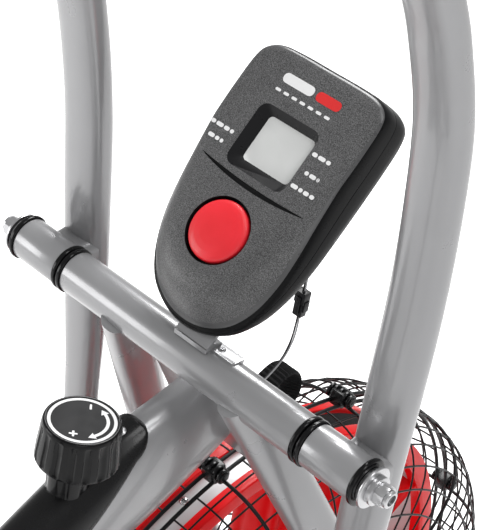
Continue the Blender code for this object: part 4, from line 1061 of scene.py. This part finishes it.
def build_knob():
    top = rel(0, -0.108, -0.021)
    up = (0, 0, 1)
    body = "knob_body"

    def flute(t, r, h):
        if h > -0.0035 or h < -0.0365:
            return r
        depth = min(1.0, (-0.0035 - h) / 0.003, (h + 0.0365) / 0.002)
        return r - depth * 0.0014 * max(0.0, math.cos(17 * t)) ** 0.35

    profile = [(0.0280, -0.0008), (0.0285, 0.0), (0.0299, 0.0), (0.0308, -0.0010), (0.0314, -0.0035),
               (0.0317, -0.005), (0.0326, -0.015), (0.0338, -0.028), (0.0342, -0.0350), (0.0338, -0.0370),
               (0.0318, -0.0385), (0, -0.0388)]
    knob = lathe("tension_knob_fine", profile, top, up, GLOSS, body, steps=192,
                 radius_of=flute, edge=0.0004)
    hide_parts("tension_knob")
    lathe("knob_disc", [(0, -0.0007), (0.0281, -0.0007)], top, up, DISC, body, edge=0, steps=96)
    lathe("knob_ring", [(0.0247, -0.00045), (0.0274, -0.00045)], top, up, WHITE_PRINT, body, edge=0,
          steps=96)
    bm = bmesh.new()
    flat = Matrix.Translation(top)
    low, high = -0.0006, -0.0004

    def bar(x, y, length, turn, lift=0.0):
        m = flat @ Matrix.Translation((x, y, lift)) @ Matrix.Rotation(math.radians(turn), 4, "Z")
        slab(bm, round_rect(length, 0.0017, 0.00034, 2), low, high, m)

    bar(-0.0085, 0.0165, 0.0062, 135)
    bar(0.0078, -0.0165, 0.0068, 45)
    bar(0.0078, -0.0165, 0.0068, 135, 0.000045)
    start, stop, radius, half = math.radians(76), math.radians(-14), 0.0201, 0.0013
    turns = [start + (stop - start) * i / 24 for i in range(25)]
    outline = [(r * math.cos(a), r * math.sin(a)) for r,
               run in ((radius + half, turns), (radius - half, turns[::-1])) for a in run]
    slab(bm, outline, low, high, flat)
    for a, sense in ((start, 1), (stop, -1)):
        normal = Vector((math.cos(a), math.sin(a)))
        tangent = Vector((-math.sin(a), math.cos(a))) * sense
        head = [normal * (radius + 0.0035), normal * radius + tangent * 0.0056, normal * (radius - 0.0035)]
        slab(bm, head, low, high, flat)
    from_bm("knob_marks", bm, WHITE_PRINT, body)


# ------------------------------------------------------------------ console

# The console's own frame: x across, y up its face, z out of its face, from the middle of the display
CONSOLE = Matrix.Translation(rel(0, *LCD_AT)) @ Matrix.Rotation(FACE_TILT, 4, "X")
OUT_OF_FACE = CONSOLE.to_3x3() @ Vector((0, 0, 1))
# The last shell material is the painted highlight band at the face's edge.
SHELL = [FACE, CONSOLE_SIDE, BEZEL, RIM_HIGHLIGHT]
# From the back edge to the face: inset, taper, height and how much of the nose's drop it takes
FRONT_LAYERS = [(-0.0008, 0, -0.012, 0.5), (-0.0013, 0, -0.0117, 0.51), (-0.0006, 0, -0.004, 0.70),
                (0.0006, 0, 0.002, 0.90), (0.0022, 0, 0.0052, 1), (0.0036, 0, 0.0066, 1),
                (0.0052, 0, 0.0074, 0.93), (0.0080, 0, 0.0078, 0.74), (0.0125, 0, 0.008, 0.50),
                (0.018, 0, 0.008, 0.28), (0.024, 0, 0.008, 0.13), (0.031, 0, 0.008, 0.045),
                (0.040, 0, 0.008, 0.01), (0.048, 0, 0.008, 0)]
BACK_LAYERS = [(-0.0008, 0, -0.0122, 0.5), (-0.0014, 0, -0.0125, 0.49), (-0.0021, 0, -0.018, 0.40),
               (-0.0026, 0.001, -0.025, 0.25), (-0.0020, 0.002, -0.031, 0.12),
               (0.0010, 0.003, -0.0352, 0.03), (0.0060, 0.005, -0.0362, 0)]


def console_outline(inset=0.0, taper=0.0):
    half = [(0.000, 0.075), (0.030, 0.075), (0.0500, 0.0735), (0.0620, 0.068), (0.0675, 0.057),
            (0.0690, 0.030), (0.0690, 0.000), (0.0685, -0.035), (0.0675, -0.065), (0.0640, -0.092),
            (0.0560, -0.117), (0.0420, -0.137), (0.022, -0.1490), (0.000, -0.1530)]
    knots = [Vector(p) for p in half + [(-x, s) for x, s in half[-2:0:-1]]]
    centre = Vector((0, -0.038))
    out = []
    for p in smooth_stretches(knots[-1:] + knots + knots[:2], 6):
        drawn = inset + taper * max(0.0, -p.y / 0.153)
        out.append(centre + (p - centre) * (1 - drawn / (p - centre).length))
    return out


def nose_drop(s):
    return 0.030 * max(0.0, -s / 0.149) ** 1.2


def loft(layers, mats):
    """A shell through the console's outline at each layer; mats has a material for each stretch."""
    bm = bmesh.new()
    rings = [[bm.verts.new(CONSOLE @ Vector((x, s, height - share * nose_drop(s)))) for x, s in
              console_outline(inset, taper)] for inset, taper, height, share in layers]
    for pair, mat in zip(zip(rings, rings[1:]), mats):
        skin(bm, pair, mat)
    bm.faces.new(rings[-1]).material_index = mats[-1]
    bm.faces.new(rings[0][::-1]).material_index = mats[0]
    return bm


def build_console():
    # Material 3, the band at the face's edge, is painted lighter as a highlight line.
    front = from_bm("console_front_fine", loft(FRONT_LAYERS, [1] * 4 + [3] * 2 + [0] * 7), SHELL, angle=32)
    window = funnel("window", round_rect(0.0632, 0.0575, 0.0085, 6, (-0.0026, -0.0018)),
                    round_rect(0.0484, 0.0406, 0.0038, 6, (0.0006, -0.0005)), 0.0083, 0.0019)
    well = bmesh.new()
    turned(well, rod(0.0285, 0.03, -0.0055), CONSOLE @ Vector((0, BUTTON_S, 0)), OUT_OF_FACE, 96, mat=2)
    cut(front, window, from_bm("well_cut", well, SHELL[:3], None), crescent("groove_cut"))
    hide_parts("console_front")
    back = from_bm("console_back_fine", loft(BACK_LAYERS, [0] * 6), CONSOLE_SIDE, angle=32)
    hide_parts("console_back")
    for i, (x, s) in enumerate([(-0.052, 0.052), (0.052, 0.052), (-0.047, -0.085), (0.047, -0.085)]):
        screw("console_screw_%d" % i, CONSOLE @ Vector((x, s, -0.036)), -OUT_OF_FACE, 0.0032)
    plate("battery_door", round_rect(0.036, 0.050, 0.003), -0.0366, -0.0358,
          CONSOLE @ Matrix.Translation((0, 0.022, 0)), BLACK, bevel=0.0003)
    lens = plate("display_fine", round_rect(0.0494, 0.0416, 0.0020, 5, (0.0006, -0.0005)), 0.0, 0.0020,
                 CONSOLE, LCD, bevel=0.0002)
    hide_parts("display_lens")
    build_button()
    build_prints()
    build_mount()


def funnel(name, upper, lower, high, low):
    """A cutter that narrows from the face down to the display."""
    bm = bmesh.new()
    levels = ((lower, -0.0006), (lower, low), (upper, high), (upper, high + 0.02))
    rings = [[bm.verts.new(CONSOLE @ Vector((x, s, h))) for x, s in outline] for outline, h in levels]
    skin(bm, rings, mat=2, ends=True)
    return from_bm(name, bm, SHELL[:3], None)


def crescent(name):
    """A cutter for the long lens-shaped groove between the display and the button."""
    upper, lower = [], []
    for f in (i / 32 for i in range(33)):
        bulge = 1 - (2 * f - 1) ** 2
        x = -0.056 + 0.112 * f
        middle = -0.0325 - 0.0045 * bulge - 0.003 * f
        half = 0.0019 * bulge ** 0.8 + 0.00015
        upper.append((x, middle + half))
        lower.append((x, middle - half))
    bm = bmesh.new()
    slab(bm, lower + upper[::-1], 0.0052, 0.02, CONSOLE, mat=2)
    return from_bm(name, bm, SHELL[:3], None)


def build_button():
    profile = [(0, 0.0116), (0.008, 0.0115), (0.014, 0.0112), (0.019, 0.0106), (0.0225, 0.0098),
               (0.0245, 0.0088), (0.0256, 0.0074), (0.0261, 0.0056), (0.0262, -0.0030), (0, -0.0030)]
    button = lathe("mode_button_fine", profile, CONSOLE @ Vector((0, BUTTON_S, 0)), OUT_OF_FACE, BUTTON,
                   "button_body", steps=96, edge=0.0003)
    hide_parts("mode_button")


def build_prints():
    """Plain bars of print: dashes beside the display, and two bars over a row of dashes above it."""

    def bars(name, spans, mat):
        bm = bmesh.new()
        for x0, x1, s, height in spans:
            m = CONSOLE @ Matrix.Translation(((x0 + x1) / 2, s, 0.0))
            slab(bm, round_rect(x1 - x0, height, height * 0.45, 3), 0.0079, 0.00825, m)
        from_bm(name, bm, mat)

    rows = ((-0.0640, -0.0080, (4.6, 7.2, 5.4, 3.6)), (-0.0590, -0.0185, (6.4, 4.0, 3.2)),
            (0.0310, 0.0105, (5.0, 7.0, 4.2)), (0.0350, -0.0050, (3.8, 6.2, 2.6)),
            (0.0310, -0.0185, (6.8, 3.8, 5.2, 4.4)))
    spans = []
    for x, s, lengths in rows:
        for length in lengths:
            spans.append((x, x + length * 0.001, s, 0.0034))
            x += length * 0.001 + 0.0012
    spans.append((-0.0310, 0.0010, 0.0510, 0.0085))
    spans += [(-0.0310 + 0.0086 * i, -0.0256 + 0.0086 * i, 0.0395, 0.0024) for i in range(7)]
    bars("console_print", spans, WHITE_PRINT)
    bars("console_mark", [(0.0040, 0.0290, 0.0510, 0.0085)], RED_PRINT)


def build_mount():
    """Bent plate under the console, with its foot and screw."""
    along = Vector((0, math.cos(FACE_TILT), math.sin(FACE_TILT)))
    behind = Vector((0, math.sin(FACE_TILT), -math.cos(FACE_TILT)))
    start = Vector((0, *LCD_AT)) + behind * 0.0363
    low, high, thick = start - along * 0.158, start - along * 0.075, behind * 0.0025
    outline = [(-0.0090, 0.0180), (0.010, 0.0180), (0.010, 0.0220), (low + thick + along * 0.004).yz,
               (high + thick).yz, high.yz, low.yz, (-0.0076, 0.0220), (-0.0090, 0.0220)]
    bracket = plate("bracket_fine", outline, -0.018, 0.018, yz_frame(0.010), PAINT, bevel=0.0006)
    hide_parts("console_bracket")
    plate("bracket_foot", round_rect(0.060, 0.014, 0.002), 0.0160, 0.0205,
          Matrix.Translation(rel(0.022, 0.0050, 0)), PAINT, bevel=0.0008)
    screw("bracket_screw", rel(0.0330, 0.0045, 0.0205), Vector((0, 0, 1)), 0.0036)
    build_leads()


def build_leads():
    """Each lead is a twin: a black strand with a grey one wandering round it. They meet in the connector."""
    sensor = [(0.030, 0.1005, 0.0147), (0.0285, 0.1025, 0.002), (0.0265, 0.1035, -0.016),
              (0.0245, 0.099, -0.034), (0.022, 0.088, -0.049), (0.0185, 0.075, -0.061),
              (0.015, 0.0635, -0.070), (0.0125, 0.0550, -0.0757)]
    console = [(0.030, 0.0747, 0.1167), (0.030, 0.080, 0.112), (0.030, 0.090, 0.100), (0.030, 0.0975, 0.084),
               (0.030, 0.1005, 0.066), (0.030, 0.1008, 0.050), (0.030, 0.1005, 0.0393)]
    for name, route in (("sensor_lead", sensor), ("console_lead", console)):
        fine = smooth_path([rel(*p) for p in route], 8)
        dark = wires(name + "_dark", [[p + Vector((-0.0007, 0.0002, 0)) for p in fine]], 0.0008, LEAD_DARK)
        light = [p + Vector((0.0007 + 0.0006 * math.sin(i * 0.15), 0.0003, 0)) for i, p in enumerate(fine)]
        wires(name + "_light", [light], 0.00075, LEAD_LIGHT)
        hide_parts(name)
    m = Matrix.Translation(rel(0.030, 0.1005, 0.027))
    bm = bmesh.new()
    slab(bm, round_rect(0.0095, 0.0075, 0.001, 3), -0.0120, 0.0015, m, bevel=0.0006)
    slab(bm, round_rect(0.0110, 0.0088, 0.001, 3), 0.0010, 0.0120, m, bevel=0.0006)
    slab(bm, round_rect(0.0050, 0.0016, 0.0004, 2), -0.0090, 0.0080, m @ Matrix.Translation((0, -0.0052, 0)),
         bevel=0.0003)
    slab(bm, round_rect(0.0016, 0.0060, 0.0004, 2), -0.0060, 0.0040, m @ Matrix.Translation((0.0056, 0, 0)),
         bevel=0.0003)
    plug = from_bm("connector_fine", bm, BLACK)
    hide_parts("lead_connector")


# ------------------------------------------------------------------ seat

def build_saddle():
    """Padded saddle: a crowned cover over a hard base, with a seam round the side and a centre channel."""
    top = SEAT_FOOT + SEAT_UP * SEAT_RISE
    base = top + Vector((0, -0.005, 0.0024))
    half_widths = [(-0.116, 0.050), (-0.108, 0.074), (-0.090, 0.094), (-0.065, 0.104), (-0.035, 0.103),
                   (0.0, 0.090), (0.030, 0.068), (0.055, 0.048), (0.080, 0.035), (0.098, 0.028),
                   (0.108, 0.019)]
    spine = smooth_path([Vector((y, half, 0)) for y, half in half_widths], 5)
    bm = bmesh.new()
    rows = []
    for y, half, _ in spine:
        f = (y + 0.116) / 0.224
        dip = 0.004 * math.exp(-((f - 0.55) / 0.18) ** 2)
        crown = 0.0430 + 0.0045 * math.cos((f - 0.1) * math.pi * 1.1) - dip
        ends = min(1.0, (f + 0.02) / 0.10, (1.02 - f) / 0.10) ** 0.5
        row = []
        for t in (2 * math.pi * j / 56 for j in range(56)):
            c, s = math.cos(t), math.sin(t)
            x = half * math.copysign(abs(c) ** 0.72, c)
            if s >= 0:
                channel = 0.0035 * math.exp(-(x / 0.008) ** 2) * min(1, 4 * f, 4 * (1 - f))
                z = 0.010 + (crown - 0.010) * ends * abs(s) ** 0.62 - channel
            else:
                z = 0.010 - 0.0085 * abs(s) ** 0.7
            wrinkle = 0.0005 * noise.noise(Vector((x, y, z)) * 60)
            row.append(bm.verts.new(base + Vector((x + wrinkle, y, z + wrinkle))))
        rows.append(row)
    skin(bm, rows, ends=True)
    saddle = from_bm("seat_cover", bm, VINYL, "seat_body", angle=60)
    mod = saddle.modifiers.new("soft", "SUBSURF")
    mod.levels = mod.render_levels = 1
    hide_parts("seat_cushion")
    piping = [base + Vector((half * 1.004, y, 0.0105)) for y, half, _ in spine]
    piping += [base + Vector((-half * 1.004, y, 0.0105)) for y, half, _ in reversed(spine)]
    wires("seat_piping", [piping], 0.0016, VINYL, "seat_body", cyclic=True)
    stitches = []
    for side, _ in SIDES:
        seam = [base + Vector((side * half * 0.985, y, 0.0168)) for y, half, _ in spine[3:-3]]
        stitches += [[a.lerp(b, 0.15), a.lerp(b, 0.85)] for a, b in zip(seam, seam[1:])]
    wires("seat_stitches", stitches, 0.0005, THREAD, "seat_body", resolution=1)
    lathe("seat_clamp_plate", rod(0.030, 0.0030), top + Vector((0, 0, -0.0016)), (0, 0, 1), DARK_STEEL,
          "seat_body")


# ------------------------------------------------------------------ stage

def build_stage():
    """A white floor that glows less for the bike than for the camera, a white world and four lamps."""
    bm = bmesh.new()
    bmesh.ops.create_grid(bm, x_segments=1, y_segments=1, size=30)
    mesh = bpy.data.meshes.new("floor")
    bm.to_mesh(mesh)
    bm.free()
    g = Graph("floor")
    glow = g.node("ShaderNodeMapRange", **{"To Min": 0.34, "To Max": 0.72})
    g.link(g.node("ShaderNodeLightPath").outputs["Is Camera Ray"], glow.inputs["Value"])
    g.put(Base_Color=(0.92, 0.92, 0.92, 1), Roughness=0.9, Emission_Color=(1, 1, 1, 1),
          Emission_Strength=glow.outputs["Result"])
    mesh.materials.append(g.mat)
    floor = bpy.data.objects.new("floor", mesh)
    bpy.context.scene.collection.objects.link(floor)
    floor.location.z = -0.0005
    world = bpy.data.worlds.new("studio")
    bpy.context.scene.world = world
    world.use_nodes = True
    background = world.node_tree.nodes["Background"]
    background.inputs["Color"].default_value = (1, 1, 1, 1)
    background.inputs["Strength"].default_value = 0.42
    for name, at, size, power in (("key", (-1.1, 1.7, 2.9), (1.0, 1.6), 70),
                                  ("top", (0.9, 0.2, 3.2), (0.6, 2.0), 26),
                                  ("left", (-2.0, -1.9, 1.0), (1.2, 1.2), 22),
                                  ("fill", (2.4, -2.0, 1.8), (1.6, 1.6), 12)):
        light = bpy.data.lights.new(name, "AREA")
        light.shape = "RECTANGLE"
        light.size, light.size_y = size
        light.energy = power
        obj = bpy.data.objects.new(name, light)
        bpy.context.scene.collection.objects.link(obj)
        obj.location = at
        obj.rotation_euler = (Vector((0, 0.05, 0.8)) - Vector(at)).to_track_quat("-Z", "Y").to_euler()


def build_camera():
    az, el, roll = math.radians(37.81), math.radians(32.97), math.radians(11.16)
    back = Vector((math.sin(az) * math.cos(el), -math.cos(az) * math.cos(el), math.sin(el)))
    right = Vector((math.cos(az), math.sin(az), 0))
    up = back.cross(right)
    r = right * math.cos(roll) + up * math.sin(roll)
    u = up * math.cos(roll) - right * math.sin(roll)
    data = bpy.data.cameras.new("camera")
    data.lens = 122.8075
    data.sensor_width = 36
    data.clip_start = 0.05
    data.clip_end = 60
    cam = bpy.data.objects.new("camera", data)
    bpy.context.scene.collection.objects.link(cam)
    m = Matrix((r, u, back)).transposed().to_4x4()
    m.translation = ORIGIN + Vector((0.74584, -0.91254, 0.85548))
    cam.matrix_world = m
    bpy.context.scene.camera = cam
    bpy.context.scene.view_settings.view_transform = "Standard"
    bpy.context.scene.view_settings.look = "None"


build_camera()
build_frame()
build_stabilizers()
build_arms()
build_axles()
build_cage()
build_wheel()
build_brake()
build_drive()
build_tension()
build_console()
build_saddle()
build_stage()
